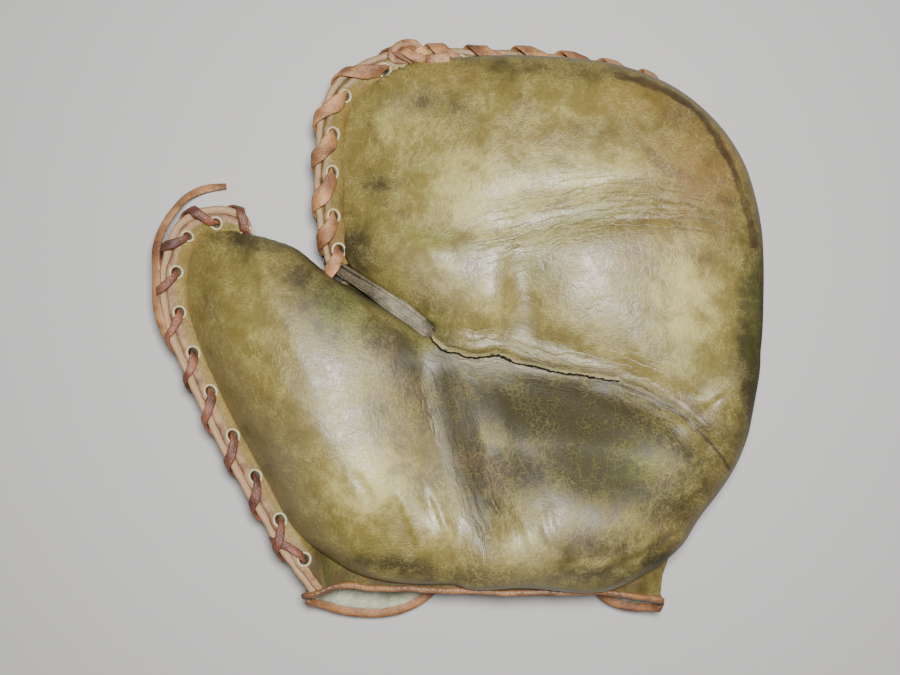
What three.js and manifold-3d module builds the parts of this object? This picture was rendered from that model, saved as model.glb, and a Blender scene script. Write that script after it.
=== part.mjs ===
import * as THREE from 'three';
import { mergeVertices } from 'three/addons/utils/BufferGeometryUtils.js';
import Module from 'manifold-3d';

// An old laced first baseman mitt, lying on its back with the palm up.
// Millimetres. X runs from the thumb to the little finger, Y from the wrist to the fingertips, Z up.
const wasm = await Module();
wasm.setup();

// Overall sizes
const MITT_WIDTH = 264;
const MITT_LENGTH = 254;
const MITT_DEPTH = 66;

// Leather and fits
const LEATHER = 2.4;
const LINING = 1;
const LINING_HEIGHT = 16;
const GAP = 0.3;
const PRESSED = 0.25;

// Laced flange: both leathers run side by side past the padding
const FLANGE_WIDTH = 11;
const FLANGE_LEAN = 36;
const PAD_RISE = 9;
const WALL_INSET = 1.2;

// Lace and its holes
const LACE_WIDTH = 4.6;
const LACE_THICK = 1.6;
const LACE_PITCH = 19;
const HOLE_INSET = 5.8;
const HOLE_LENGTH = 6.8;
const HOLE_WIDTH = 3.8;

// Padding heights
const THUMB_CREST = 60;
const FINGER_CREST = 58;
const HEEL_CREST = 64;
const HAND_HEIGHT = 30;
const BOTTOM_SINK = 2;

// Edge bindings, gusset and wrist strap
const BINDING_WIDTH = 2.4;
const BINDING_THICK = 4.2;
const BINDING_EXTRA = 0.8;
const GUSSET_WIDTH = 5.5;
const GUSSET_THICK = 3;
const STRAP_WIDTH = 20;
const STRAP_THICK = 2;
const STRAP_LENGTH = 104;

const UP = new THREE.Vector3(0, 0, 1);

const rows = (names, values) =>
  values.map((row) => Object.fromEntries(names.map((name, i) => [name, row[i]])));

// Shares of width, length and depth become a point
const point = ({ x, y, z = 0 }) =>
  new THREE.Vector3(x * MITT_WIDTH, y * MITT_LENGTH, z * MITT_DEPTH);

// The laced rims, as places of the cut edge. x, y and z are shares of the mitt's width, length and
// depth, lean is the share of the flange's lean, and roll how far the padding bulges over the flange.
const RIM_COLUMNS = ['x', 'y', 'z', 'lean', 'roll'];
const THUMB_RIM = rows(RIM_COLUMNS, [
  [-0.232, -0.414, 0.46, 0.3, 0],
  [-0.263, -0.373, 0.4, 0.8, 0],
  [-0.336, -0.246, 0.36, 1, 0],
  [-0.409, -0.102, 0.36, 1, 0],
  [-0.461, 0.035, 0.36, 1, 0],
  [-0.467, 0.112, 0.36, 1, 0],
  [-0.446, 0.182, 0.36, 1, 0],
  [-0.415, 0.21, 0.36, 1, 0],
  [-0.375, 0.217, 0.36, 0.8, 0],
  [-0.334, 0.208, 0.37, 0.5, 0.2],
  [-0.3, 0.18, 0.38, 0.2, 0.6],
]);
const FINGER_RIM = rows(RIM_COLUMNS, [
  [-0.198, 0.118, 0.42, 0.4, 0.1],
  [-0.21, 0.2, 0.42, 1, 0],
  [-0.212, 0.32, 0.4, 1, 0],
  [-0.206, 0.385, 0.38, 1, 0],
  [-0.175, 0.437, 0.37, 1, 0],
  [-0.125, 0.47, 0.36, 0.8, 0.1],
  [-0.055, 0.488, 0.36, 0.5, 0.35],
  [0.07, 0.487, 0.36, 0.2, 0.6],
  [0.2, 0.478, 0.36, 0, 0.7],
  [0.3, 0.454, 0.35, 0, 0.8],
  [0.388, 0.402, 0.34, 0, 0.9],
  [0.462, 0.312, 0.33, 0, 0.95],
  [0.502, 0.2, 0.33, 0, 1],
  [0.51, 0.06, 0.33, 0, 1.1],
  [0.503, -0.06, 0.33, 0, 1.1],
  [0.48, -0.17, 0.34, 0, 1.1],
  [0.44, -0.25, 0.35, 0, 1.05],
  [0.395, -0.325, 0.36, 0, 0.9],
  [0.355, -0.405, 0.4, 0, 0.6],
  [0.333, -0.438, 0.46, 0, 0.3],
]);

// What bounds each pad away from the laced rims: creases, the thumb's inner side and the heel's edge
const PLACE_COLUMNS = ['x', 'y', 'z'];
const THUMB_SIDE = rows(PLACE_COLUMNS, [
  [-0.255, 0.155, 0.4],
  [-0.2, 0.11, 0.42],
  [-0.118, 0.058, 0.46],
  [-0.045, 0.008, 0.5],
  [0.02, -0.06, 0.52],
  [0.062, -0.15, 0.53],
  [0.09, -0.26, 0.54],
  [0.105, -0.36, 0.56],
  [0.1, -0.4, 0.58],
  [0, -0.406, 0.6],
  [-0.1, -0.403, 0.58],
  [-0.163, -0.388, 0.52],
]);
const FINGER_CREASE = rows(PLACE_COLUMNS, [
  [0.43, -0.235, 0.52],
  [0.33, -0.15, 0.58],
  [0.22, -0.09, 0.62],
  [0.11, -0.048, 0.62],
  [0.03, -0.032, 0.6],
  [-0.04, 0.01, 0.55],
  [-0.12, 0.062, 0.48],
  [-0.168, 0.094, 0.45],
]);
const HEEL_SIDE = rows(PLACE_COLUMNS, [
  [0.25, -0.413, 0.6],
  [0.12, -0.409, 0.6],
  [0.01, -0.404, 0.6],
  [-0.02, -0.34, 0.55],
  [-0.035, -0.24, 0.52],
  [-0.06, -0.12, 0.5],
  [-0.06, -0.02, 0.48],
  [0.02, 0.03, 0.48],
  [0.12, 0.03, 0.5],
  [0.22, 0.01, 0.5],
  [0.33, -0.03, 0.48],
  [0.43, -0.09, 0.46],
]);

// The palm's free edge over the wrist
const HEEL_EDGE = rows(PLACE_COLUMNS, [
  [-0.208, -0.424, 0.52],
  [-0.175, -0.412, 0.55],
  [-0.11, -0.415, 0.58],
  [0.05, -0.419, 0.61],
  [0.15, -0.42, 0.61],
  [0.25, -0.423, 0.58],
  [0.32, -0.436, 0.51],
]);

// The back's free edge under the wrist, arched between its two flaps, and where the back would end
// if it ran on past that edge
const WRIST_EDGE = rows(['x', 'y'], [
  [0.38, -0.44],
  [0.34, -0.457],
  [0.303, -0.462],
  [0.262, -0.448],
  [0.235, -0.4],
  [0.19, -0.3],
  [0.11, -0.25],
  [0.03, -0.3],
  [-0.01, -0.4],
  [-0.037, -0.445],
  [-0.093, -0.474],
  [-0.165, -0.474],
  [-0.22, -0.452],
  [-0.28, -0.415],
]);
const BACK_END = rows(PLACE_COLUMNS, [
  [0.352, -0.455, 0.44],
  [0.345, -0.5, 0.42],
  [0.24, -0.54, 0.32],
  [0.11, -0.54, 0.29],
  [-0.1, -0.55, 0.29],
  [-0.2, -0.54, 0.32],
  [-0.245, -0.475, 0.42],
]);

// Where the hand and thumb hollows of the back run into each other
const HAND_SIDE = rows(PLACE_COLUMNS, [
  [-0.225, -0.41, 0.4],
  [-0.2, -0.3, 0.42],
  [-0.2, -0.15, 0.42],
  [-0.2, 0, 0.42],
  [-0.19, 0.07, 0.42],
]);

// The strip in the crotch between thumb and fingers
const GUSSET_LINE = rows(PLACE_COLUMNS, [
  [-0.19, 0.112, 0.5],
  [-0.14, 0.075, 0.56],
  [-0.09, 0.035, 0.6],
  [-0.045, 0.005, 0.61],
  [-0.02, -0.008, 0.61],
]);

// The highest place of each pad and the lowest of each hollow
const CRESTS = {
  thumb: { x: -0.17, y: -0.17, z: THUMB_CREST / MITT_DEPTH },
  finger: { x: 0.19, y: 0.16, z: FINGER_CREST / MITT_DEPTH },
  heel: { x: 0.16, y: -0.26, z: HEEL_CREST / MITT_DEPTH },
};
const HOLLOWS = {
  thumb: { x: -0.27, y: -0.1 },
  hand: { x: 0.12, y: -0.02 },
};

// Hollows worn into the pads. long and wide are half sizes, as shares of the mitt's width,
// turn is in degrees from X, and deep is a share of the depth.
const DENTS = rows(['x', 'y', 'long', 'wide', 'turn', 'deep'], [
  [0.06, -0.13, 0.16, 0.12, -20, 0.24],
  [0.13, 0.2, 0.24, 0.04, 4, 0.05],
  [0.12, 0.06, 0.05, 0.12, -8, 0.06],
  [0.28, -0.1, 0.16, 0.035, -24, 0.06],
  [0.24, -0.2, 0.1, 0.06, -35, 0.06],
  [-0.03, 0.38, 0.1, 0.08, 30, 0.05],
]);

// The lace's free end, from where it leaves the thumb's lacing, round the thumb's tip and down
const LACE_END = rows(PLACE_COLUMNS, [
  [-0.484, 0.105, 0.475],
  [-0.486, 0.15, 0.445],
  [-0.479, 0.188, 0.36],
  [-0.467, 0.22, 0.25],
  [-0.45, 0.248, 0.144],
  [-0.422, 0.264, 0.076],
  [-0.388, 0.2695, 0.037],
]);

// Solids from closed geometry, and geometry from solids
function solid(geometry) {
  const bare = new THREE.BufferGeometry();
  const source = geometry.index ? geometry.toNonIndexed() : geometry;
  bare.setAttribute('position', source.getAttribute('position').clone());
  const merged = mergeVertices(bare, 1e-4);
  return new wasm.Manifold(new wasm.Mesh({
    numProp: 3,
    vertProperties: merged.attributes.position.array,
    triVerts: new Uint32Array(merged.index.array),
  }));
}

function geometryOf(manifold) {
  const { vertProperties, triVerts } = manifold.getMesh();
  const geometry = new THREE.BufferGeometry();
  geometry.setAttribute('position', new THREE.BufferAttribute(vertProperties, 3));
  geometry.setIndex(new THREE.BufferAttribute(triVerts, 1));
  return geometry;
}

const joined = (solids) => solids.reduce((whole, piece) => whole.add(piece));

// A cut can leave crumbs beside the piece that counts
const largest = (manifold) =>
  manifold.decompose().reduce((best, body) => (body.volume() > best.volume() ? body : best));

// Moves each corner of a geometry to where a function puts it
function reshaped(geometry, move) {
  const places = geometry.attributes.position;
  const place = new THREE.Vector3();
  for (let i = 0; i < places.count; i += 1) {
    place.fromBufferAttribute(places, i);
    const moved = move(place);
    places.setXYZ(i, moved.x, moved.y, moved.z);
  }
  return geometry;
}

function smoothCurve(points, closed = false) {
  const curve = new THREE.CatmullRomCurve3(points, closed, 'centripetal');
  curve.arcLengthDivisions = 400;
  return curve;
}

const sampled = (of, from, to, count) =>
  Array.from({ length: count }, (_, i) => of(THREE.MathUtils.lerp(from, to, i / (count - 1))));

const polygon = (corners) => new THREE.Shape(corners.map(([x, y]) => new THREE.Vector2(x, y)));

const oblong = (width, height) => polygon([
  [-width / 2, -height / 2], [width / 2, -height / 2], [width / 2, height / 2], [-width / 2, height / 2],
]);

// A bar of any section bent along a path: place takes the share of the way and the section's x and y
function bent(section, steps, place) {
  const bar = new THREE.ExtrudeGeometry(section, { depth: 1, steps, bevelEnabled: false });
  return solid(reshaped(bar, (p) => place(p.z, p.x, p.y)));
}

// A bar that follows stops, each with its place and the direction its thin side faces
function ribbon(stops, width, thick) {
  const last = stops.length - 1;
  return bent(oblong(width, thick), last, (share, x, y) => {
    const i = Math.round(share * last);
    const along = stops[Math.min(i + 1, last)].at.clone().sub(stops[Math.max(i - 1, 0)].at);
    const wide = stops[i].thin.clone().cross(along).normalize();
    const thin = along.cross(wide).normalize();
    return stops[i].at.clone().addScaledVector(wide, x).addScaledVector(thin, y);
  });
}

// A stuffed closed form: a ball's rings follow the outline, given clockwise, its top swells to the
// crest and its underside to the floor. full below 1 makes the sides steeper and the middle flatter.
function pillow(outline, { centre, crest, floor, full, sides, tiers, shape = (p) => p }) {
  const curve = smoothCurve(outline, true);
  const ball = new THREE.SphereGeometry(1, sides, tiers).rotateX(Math.PI / 2);
  return solid(reshaped(ball, (p) => {
    const reach = Math.min(Math.hypot(p.x, p.y), 1);
    const share = THREE.MathUtils.euclideanModulo(Math.atan2(p.y, -p.x) / (2 * Math.PI), 1);
    const edge = curve.getPointAt(Math.round(share * sides) / sides % 1);
    const swell = Math.min(Math.abs(p.z), 1) ** full;
    const moved = new THREE.Vector3(
      THREE.MathUtils.lerp(centre.x, edge.x, reach),
      THREE.MathUtils.lerp(centre.y, edge.y, reach),
      THREE.MathUtils.lerp(edge.z, p.z > 0 ? crest : floor, swell),
    );
    return shape(moved, p.z > 0 ? swell : -swell);
  }));
}

// One laced rim: a curve along the cut edge with the frame of the flange at each share of its length
function rim(table) {
  const curve = smoothCurve(table.map(point));
  const length = curve.getLength();
  const column = (name, share) => {
    const at = curve.getUtoTmapping(share) * (table.length - 1);
    const i = Math.min(Math.floor(at), table.length - 2);
    return THREE.MathUtils.lerp(table[i][name], table[i + 1][name], at - i);
  };
  // A place beside the edge: out runs along the flange from the cut edge, over away from its mid plane
  const place = (t, out, over) => {
    const share = THREE.MathUtils.clamp(t, 0, 1);
    const along = curve.getTangentAt(share);
    const outward = new THREE.Vector3(-along.y, along.x, 0).normalize();
    const lean = THREE.MathUtils.degToRad(FLANGE_LEAN * column('lean', share));
    const flange = outward.clone().multiplyScalar(Math.cos(lean)).addScaledVector(UP, Math.sin(lean));
    const across = outward.clone().multiplyScalar(-Math.sin(lean)).addScaledVector(UP, Math.cos(lean));
    return curve.getPointAt(share)
      .addScaledVector(along, (t - share) * length)
      .addScaledVector(UP, FLANGE_WIDTH * Math.sin(lean))
      .addScaledVector(flange, out)
      .addScaledVector(across, over);
  };
  // The padding's widest place above the flange
  const pad = (t) => {
    const roll = column('roll', t);
    const widest = place(t, -FLANGE_WIDTH * (1 - roll), 0);
    widest.z = curve.getPointAt(t).z + GAP / 2 + PAD_RISE * Math.min(4 * roll, 1);
    return widest;
  };
  const stitches = Math.round(length / LACE_PITCH);
  const holes = Array.from({ length: stitches }, (_, i) => (i + 0.5) / stitches);
  // The same on the flange as built, which runs straight over one stitch
  const beside = (t, out, over) => {
    const step = THREE.MathUtils.clamp(Math.floor(t * stitches), 0, stitches - 1);
    const from = place(step / stitches, out, over);
    return from.lerp(place((step + 1) / stitches, out, over), t * stitches - step);
  };
  return { length, place, beside, pad, stitches, holes };
}

const thumbRim = rim(THUMB_RIM);
const fingerRim = rim(FINGER_RIM);
const RIMS = [thumbRim, fingerRim];

// A flange of one leather along a rim, as a section by out and over, and the lace holes through it
const flange = (run, section) =>
  bent(polygon(section), run.stitches, (t, out, over) => run.place(t, out, over));

function laceHoles(run) {
  const slit = () => new THREE.BoxGeometry(HOLE_LENGTH, 4 * LEATHER, HOLE_WIDTH);
  return joined(run.holes.map((t) =>
    solid(reshaped(slit(), (p) => run.beside(t + p.x / run.length, -HOLE_INSET - p.z, p.y)))));
}

const ALL_HOLES = joined(RIMS.map(laceHoles));

// Padding: three stuffed lobes that meet in the creases
function worn(p, swell) {
  if (swell <= 0) return p;
  let sunk = 0;
  for (const dent of DENTS) {
    const turn = THREE.MathUtils.degToRad(dent.turn);
    const dx = p.x / MITT_WIDTH - dent.x;
    const dy = (p.y - dent.y * MITT_LENGTH) / MITT_WIDTH;
    const a = (dx * Math.cos(turn) + dy * Math.sin(turn)) / dent.long;
    const b = (dy * Math.cos(turn) - dx * Math.sin(turn)) / dent.wide;
    sunk += dent.deep * MITT_DEPTH * Math.exp(-a * a - b * b);
  }
  p.z -= sunk * swell;
  return p;
}

function lobe(outline, crest, full) {
  const centre = point(crest);
  return pillow(outline, {
    centre, crest: centre.z, floor: HAND_HEIGHT, full, sides: 34, tiers: 10, shape: worn,
  });
}

// Shares of the finger rim where the heel's pad starts and the fingers' pad ends
const HEEL_START = 0.76;
const CREASE_END = 0.81;

const pads = joined([
  lobe([...sampled(thumbRim.pad, 0.12, 1, 12), ...THUMB_SIDE.map(point)], CRESTS.thumb, 0.7),
  lobe([...sampled(fingerRim.pad, 0, CREASE_END, 22), ...FINGER_CREASE.map(point)], CRESTS.finger, 0.55),
  lobe([...sampled(fingerRim.pad, HEEL_START, 0.97, 6), ...HEEL_SIDE.map(point)], CRESTS.heel, 0.6),
]);

// Gusset strip let into the crotch
function gussetBar(width, thick) {
  const line = smoothCurve(GUSSET_LINE.map(point));
  return ribbon(sampled((t) => ({ at: line.getPointAt(t), thin: UP }), 0, 1, 12), width, thick);
}

const PALM_FLANGE = [
  [0, GAP / 2],
  [0, GAP / 2 + LEATHER],
  [-FLANGE_WIDTH, GAP / 2 + LEATHER],
  [-FLANGE_WIDTH, PAD_RISE + 2 * LEATHER],
  [-FLANGE_WIDTH - LEATHER, PAD_RISE + 2 * LEATHER],
  [-FLANGE_WIDTH - LEATHER, GAP / 2],
];

const PALM = joined([pads, ...RIMS.map((run) => flange(run, PALM_FLANGE))]);

function palmPad() {
  const groove = gussetBar(GUSSET_WIDTH + 2 * GAP, GUSSET_THICK + 2 * GAP);
  return largest(PALM.subtract(ALL_HOLES).subtract(groove));
}

// The thumb's and the hand's hollows of the back as one dish. thickness is how far its skin lies inside
// the back's outer face, lip how far its rim stands over the laced flange, and top its closed height.
function dish(thickness, lip, top) {
  const inset = (run) => (t) => {
    const edge = run.place(t, -FLANGE_WIDTH - WALL_INSET - thickness, 0);
    edge.z += lip - GAP / 2;
    return edge;
  };
  const hollow = (outline, centre) => pillow(outline, {
    centre: point(centre),
    crest: top,
    floor: thickness - BOTTOM_SINK,
    full: 0.9,
    sides: 28,
    tiers: 10,
    shape: (p, swell) => {
      if (swell < 0) p.z = Math.max(p.z, thickness);
      return p;
    },
  });
  const thumb = [...sampled(inset(thumbRim), 0, 1, 12), ...THUMB_SIDE.slice(0, 9).map(point)];
  const hand = [...sampled(inset(fingerRim), 0, 0.95, 24), ...[...BACK_END, ...HAND_SIDE].map(point)];
  return hollow(thumb, HOLLOWS.thumb).add(hollow(hand, HOLLOWS.hand));
}

// All that lies past the back's wrist edge, moved out by some distance
function pastWrist(distance) {
  const curve = smoothCurve(WRIST_EDGE.map(point));
  const edge = sampled((t) => {
    const at = curve.getPointAt(t);
    const along = curve.getTangentAt(t);
    return [at.x - along.y * distance, at.y + along.x * distance];
  }, 0, 1, 40);
  const far = MITT_LENGTH;
  const outline = [...edge, [-MITT_WIDTH / 3, -far], [MITT_WIDTH / 2, -far]];
  const prism = new THREE.ExtrudeGeometry(polygon(outline), { depth: 2 * MITT_DEPTH, bevelEnabled: false });
  return solid(prism.translate(0, 0, -MITT_DEPTH / 2));
}

const OUTSIDE = dish(0, -1, 0.7 * HAND_HEIGHT);
const inside = (thickness) => dish(thickness, 3, 2 * HAND_HEIGHT);

const BACK_FLANGE = [
  [0, -GAP / 2],
  [-FLANGE_WIDTH - LEATHER, -GAP / 2],
  [-FLANGE_WIDTH - LEATHER, -GAP / 2 - LEATHER],
  [0, -GAP / 2 - LEATHER],
];

function backPanel() {
  const shell = OUTSIDE.subtract(inside(LEATHER)).subtract(pastWrist(0));
  const whole = joined([shell, ...RIMS.map((run) => flange(run, BACK_FLANGE))]);
  const clear = [-PRESSED, 0, PRESSED].map((shift) => PALM.translate([0, 0, shift]));
  return largest(clear.reduce((rest, palm) => rest.subtract(palm), whole.subtract(ALL_HOLES)));
}

// Bindings along the free edges, and the lining that shows inside the back's flaps
function heelBinding() {
  const line = smoothCurve(HEEL_EDGE.map(point));
  const stops = sampled((t) => ({ at: line.getPointAt(t), thin: UP }), 0, 1, 16);
  const bar = ribbon(stops, BINDING_WIDTH, BINDING_THICK);
  return largest(bar.subtract(PALM.translate([0, -GAP, 0])));
}

function backBinding() {
  const rimmed = OUTSIDE.subtract(inside(LEATHER + BINDING_EXTRA));
  const band = pastWrist(GAP).subtract(pastWrist(GAP + BINDING_WIDTH));
  return largest(rimmed.intersect(band));
}

function backLining() {
  const skin = inside(LEATHER + GAP).subtract(inside(LEATHER + GAP + LINING));
  const slab = new THREE.BoxGeometry(0.7 * MITT_WIDTH, 0.4 * MITT_LENGTH, 2 * LINING_HEIGHT);
  slab.translate(0.05 * MITT_WIDTH, -0.38 * MITT_LENGTH, 0);
  return largest(skin.intersect(solid(slab)).subtract(pastWrist(-2 * GAP)));
}

// A strap across the arch, against the outside of the back
function wristStrap() {
  const outer = dish(-GAP - STRAP_THICK, 0, HAND_HEIGHT / 2);
  const band = new THREE.BoxGeometry(STRAP_LENGTH, STRAP_WIDTH, MITT_DEPTH / 2);
  band.translate(0.1 * MITT_WIDTH, -0.41 * MITT_LENGTH, 0);
  return largest(outer.subtract(inside(-GAP)).intersect(solid(band)));
}

// Whip-stitched lace: up through a hole, over the edge on the slant, and back under to the next hole.
// ahead is the share of the pitch, out of the hole's inset, and over of the leather's thickness.
const STITCH = rows(['ahead', 'out', 'over'], [
  [0, -1, 1.71],
  [0.3, -0.035, 1.92],
  [0.45, 0.33, 1.09],
  [0.55, 0.33, -1.09],
  [0.7, -0.035, -1.92],
  [1, -1, -1.71],
]);

function lace(run) {
  const stops = [];
  for (let i = run.stitches - 2; i > 0; i -= 1) {
    const hole = run.holes[i];
    STITCH.forEach(({ ahead, out, over }) => stops.push({
      t: hole - ahead / run.stitches,
      out: out * HOLE_INSET,
      over: over * LEATHER,
    }));
  }
  const last = stops.length - 1;
  return bent(oblong(LACE_WIDTH, LACE_THICK), last, (share, x, y) => {
    const { t, out, over } = stops[Math.round(share * last)];
    const outside = new THREE.Vector2(out + HOLE_INSET / 2, over).normalize();
    return run.beside(t - x / run.length, out + y * outside.x, over + y * outside.y);
  });
}

// The free end comes out of one stitch's side
const END_RADIUS = 1.9;
const END_SIDES = 8;
const END_STITCH = 7;

function laceEnd() {
  const corner = (angle) => [END_RADIUS * Math.cos(angle), END_RADIUS * Math.sin(angle)];
  const round = sampled(corner, 0, 2 * Math.PI, END_SIDES + 1).slice(1);
  const leaving = END_STITCH / thumbRim.stitches + (LACE_WIDTH / 2 + 3 * GAP) / thumbRim.length;
  const line = smoothCurve([thumbRim.beside(leaving, END_RADIUS + GAP, 0), ...LACE_END.map(point)]);
  const along = { steps: 18, extrudePath: line, bevelEnabled: false };
  return solid(new THREE.ExtrudeGeometry(polygon(round), along));
}

// Two loops of the knot that ends the finger lace
const KNOT = { at: { x: -0.062, y: 0.494, z: 0.574 }, radius: 4.2, tube: 1.9, lean: 55, squash: 0.8 };

function laceKnot() {
  const loop = (lean) => solid(new THREE.TorusGeometry(KNOT.radius, KNOT.tube, 6, 12)
    .scale(1.3, 1, KNOT.squash)
    .rotateX(THREE.MathUtils.degToRad(lean))
    .rotateZ(THREE.MathUtils.degToRad(lean / 2))
    .translate(...point(KNOT.at)));
  return loop(0).add(loop(KNOT.lean));
}

const COLOURS = {
  olive: 0x8f8455, back: 0x6f6540, gusset: 0x77705a, binding: 0xa0703c,
  lining: 0x99a088, thumbLace: 0x7a4a30, fingerLace: 0xa5703f,
};

const PIECES = [
  ['palm_pad', palmPad(), COLOURS.olive, 0.45],
  ['back_panel', backPanel(), COLOURS.back, 0.55],
  ['crotch_gusset', gussetBar(GUSSET_WIDTH, GUSSET_THICK), COLOURS.gusset, 0.6],
  ['heel_binding', heelBinding(), COLOURS.binding, 0.6],
  ['back_binding', backBinding(), COLOURS.binding, 0.6],
  ['back_lining', backLining(), COLOURS.lining, 0.8],
  ['wrist_strap', wristStrap(), COLOURS.back, 0.55],
  ['thumb_lace', lace(thumbRim), COLOURS.thumbLace, 0.6],
  ['finger_lace', lace(fingerRim), COLOURS.fingerLace, 0.6],
  ['lace_knot', laceKnot(), COLOURS.fingerLace, 0.6],
  ['lace_end', laceEnd(), COLOURS.fingerLace, 0.6],
];

const group = new THREE.Group();
for (const [name, manifold, color, roughness] of PIECES) {
  const material = new THREE.MeshStandardMaterial({ color, roughness, metalness: 0 });
  const mesh = new THREE.Mesh(geometryOf(manifold), material);
  mesh.name = name;
  group.add(mesh);
}

// The origin is under the middle of the mitt, on the surface it lies on, the free lace end left out
const extent = new THREE.Box3();
for (const mesh of group.children) {
  if (mesh.name !== 'lace_end') extent.union(new THREE.Box3().setFromObject(mesh));
}
const middle = extent.getCenter(new THREE.Vector3());
group.position.set(-middle.x, -middle.y, -extent.min.z);

export default group;
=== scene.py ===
import math

import bmesh
import bpy
import numpy as np
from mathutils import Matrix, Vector
from mathutils.bvhtree import BVHTree


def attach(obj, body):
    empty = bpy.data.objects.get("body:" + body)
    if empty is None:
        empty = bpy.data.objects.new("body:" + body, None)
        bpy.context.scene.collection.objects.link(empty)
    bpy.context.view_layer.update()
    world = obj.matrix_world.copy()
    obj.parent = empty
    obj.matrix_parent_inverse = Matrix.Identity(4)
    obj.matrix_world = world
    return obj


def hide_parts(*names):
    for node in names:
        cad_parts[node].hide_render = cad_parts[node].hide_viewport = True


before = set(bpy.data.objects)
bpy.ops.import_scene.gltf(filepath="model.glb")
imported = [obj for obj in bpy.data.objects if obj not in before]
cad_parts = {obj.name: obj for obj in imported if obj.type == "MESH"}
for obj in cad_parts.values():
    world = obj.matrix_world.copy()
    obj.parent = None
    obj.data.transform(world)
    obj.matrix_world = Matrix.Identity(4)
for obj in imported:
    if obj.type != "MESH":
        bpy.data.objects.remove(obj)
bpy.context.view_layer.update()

# Camera: straight over the mitt, as the photograph was taken, with the wrist at the bottom. The frame's
# origin lies beside the middle of the picture, so MIDDLE is the point that the camera looks down on.
MIDDLE = np.array([-0.00532, -0.00379, 0])
CAMERA_HEIGHT = 0.511
LENS, SENSOR = 45, 36
PHOTO_WIDTH, PHOTO_HEIGHT = 900, 675
camera_data = bpy.data.cameras.new("camera")
camera_data.lens = LENS
camera_data.sensor_width = SENSOR
camera = bpy.data.objects.new("camera", camera_data)
camera.location = (MIDDLE[0], MIDDLE[1], CAMERA_HEIGHT)
bpy.context.collection.objects.link(camera)
bpy.context.scene.camera = camera

# Floor and light: a plain pale table, one soft lamp a little above the camera's place, and a dim room.
FLOOR_HALF, FLOOR_COLOUR, FLOOR_ROUGHNESS = 3, (0.4, 0.39, 0.38, 1), 0.9
LAMP_SIZE, LAMP_POWER, LAMP_PLACE, LIT_POINT = 0.11, 8.2, (0.02, 0.05, 0.58), Vector((0, 0, 0.03))
ROOM_COLOUR, ROOM_LIGHT = (1, 1, 1, 1), 0.09
floor_mesh = bpy.data.meshes.new("floor")
floor_form = bmesh.new()
bmesh.ops.create_grid(floor_form, x_segments=1, y_segments=1, size=FLOOR_HALF)
floor_form.to_mesh(floor_mesh)
floor_form.free()
floor = bpy.data.objects.new("floor", floor_mesh)
bpy.context.collection.objects.link(floor)
floor_paint = bpy.data.materials.new("pale floor")
floor_paint.use_nodes = True
floor_surface = floor_paint.node_tree.nodes["Principled BSDF"]
floor_surface.inputs["Base Color"].default_value = FLOOR_COLOUR
floor_surface.inputs["Roughness"].default_value = FLOOR_ROUGHNESS
floor_mesh.materials.append(floor_paint)

lamp_data = bpy.data.lights.new("lamp", "AREA")
lamp_data.shape = "DISK"
lamp_data.size = LAMP_SIZE
lamp_data.energy = LAMP_POWER
lamp = bpy.data.objects.new("lamp", lamp_data)
lamp.location = LAMP_PLACE
lamp.rotation_euler = (LIT_POINT - lamp.location).to_track_quat("-Z", "Y").to_euler()
bpy.context.collection.objects.link(lamp)

world = bpy.data.worlds.new("room")
world.use_nodes = True
room_light = world.node_tree.nodes["Background"]
room_light.inputs["Color"].default_value = ROOM_COLOUR
room_light.inputs["Strength"].default_value = ROOM_LIGHT
bpy.context.scene.world = world

# Laced rims: where palm and back leather lie flat on each other and are laced. Rows are places of the cut
# edge, as shares of width, length and depth. lean is the share of the flange's lean, and roll how far the
# pad bulges over it.
WIDTH, LENGTH, DEPTH = 0.264, 0.254, 0.066
FLANGE_WIDTH = 0.011
FLANGE_LEAN = math.radians(36)
PAD_RISE = 0.009
PAD_INSET = 0.8 * FLANGE_WIDTH
FLAT_EDGE, STEEPER_BY_ROLL = 2.1, 1.58
THUMB_STOPS, FINGER_STOPS = 241, 521
THUMB_RIM = [
    # x, y, z, lean, roll
    (-0.232, -0.414, 0.46, 0.3, 0), (-0.263, -0.373, 0.4, 0.8, 0), (-0.336, -0.246, 0.36, 1, 0),
    (-0.409, -0.102, 0.36, 1, 0), (-0.461, 0.035, 0.36, 1, 0), (-0.467, 0.112, 0.36, 1, 0),
    (-0.446, 0.182, 0.36, 1, 0), (-0.415, 0.21, 0.36, 1, 0), (-0.375, 0.217, 0.36, 0.8, 0),
    (-0.334, 0.208, 0.37, 0.5, 0.2), (-0.3, 0.18, 0.38, 0.2, 0.6),
]
FINGER_RIM = [
    # x, y, z, lean, roll
    (-0.198, 0.118, 0.42, 0.4, 0.1), (-0.21, 0.2, 0.42, 1, 0), (-0.212, 0.32, 0.4, 1, 0),
    (-0.206, 0.385, 0.38, 1, 0), (-0.175, 0.437, 0.37, 1, 0), (-0.125, 0.47, 0.36, 0.8, 0.1),
    (-0.055, 0.488, 0.36, 0.5, 0.35), (0.07, 0.487, 0.36, 0.2, 0.6), (0.2, 0.478, 0.36, 0, 0.7),
    (0.3, 0.454, 0.35, 0, 0.8), (0.388, 0.402, 0.34, 0, 0.9), (0.462, 0.312, 0.33, 0, 0.95),
    (0.495, 0.2, 0.33, 0, 1), (0.497, 0.06, 0.33, 0, 1.1), (0.489, -0.06, 0.33, 0, 1.1),
    (0.466, -0.175, 0.34, 0, 1.1), (0.428, -0.25, 0.35, 0, 1.05), (0.381, -0.325, 0.36, 0, 0.9),
    (0.348, -0.4, 0.4, 0, 0.75), (0.333, -0.438, 0.46, 0, 0.6),
]


def places(shares):
    """Shares of width, length and depth become places in the frame."""
    return MIDDLE + np.array(shares)[:, :3] * (WIDTH, LENGTH, DEPTH)


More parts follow.
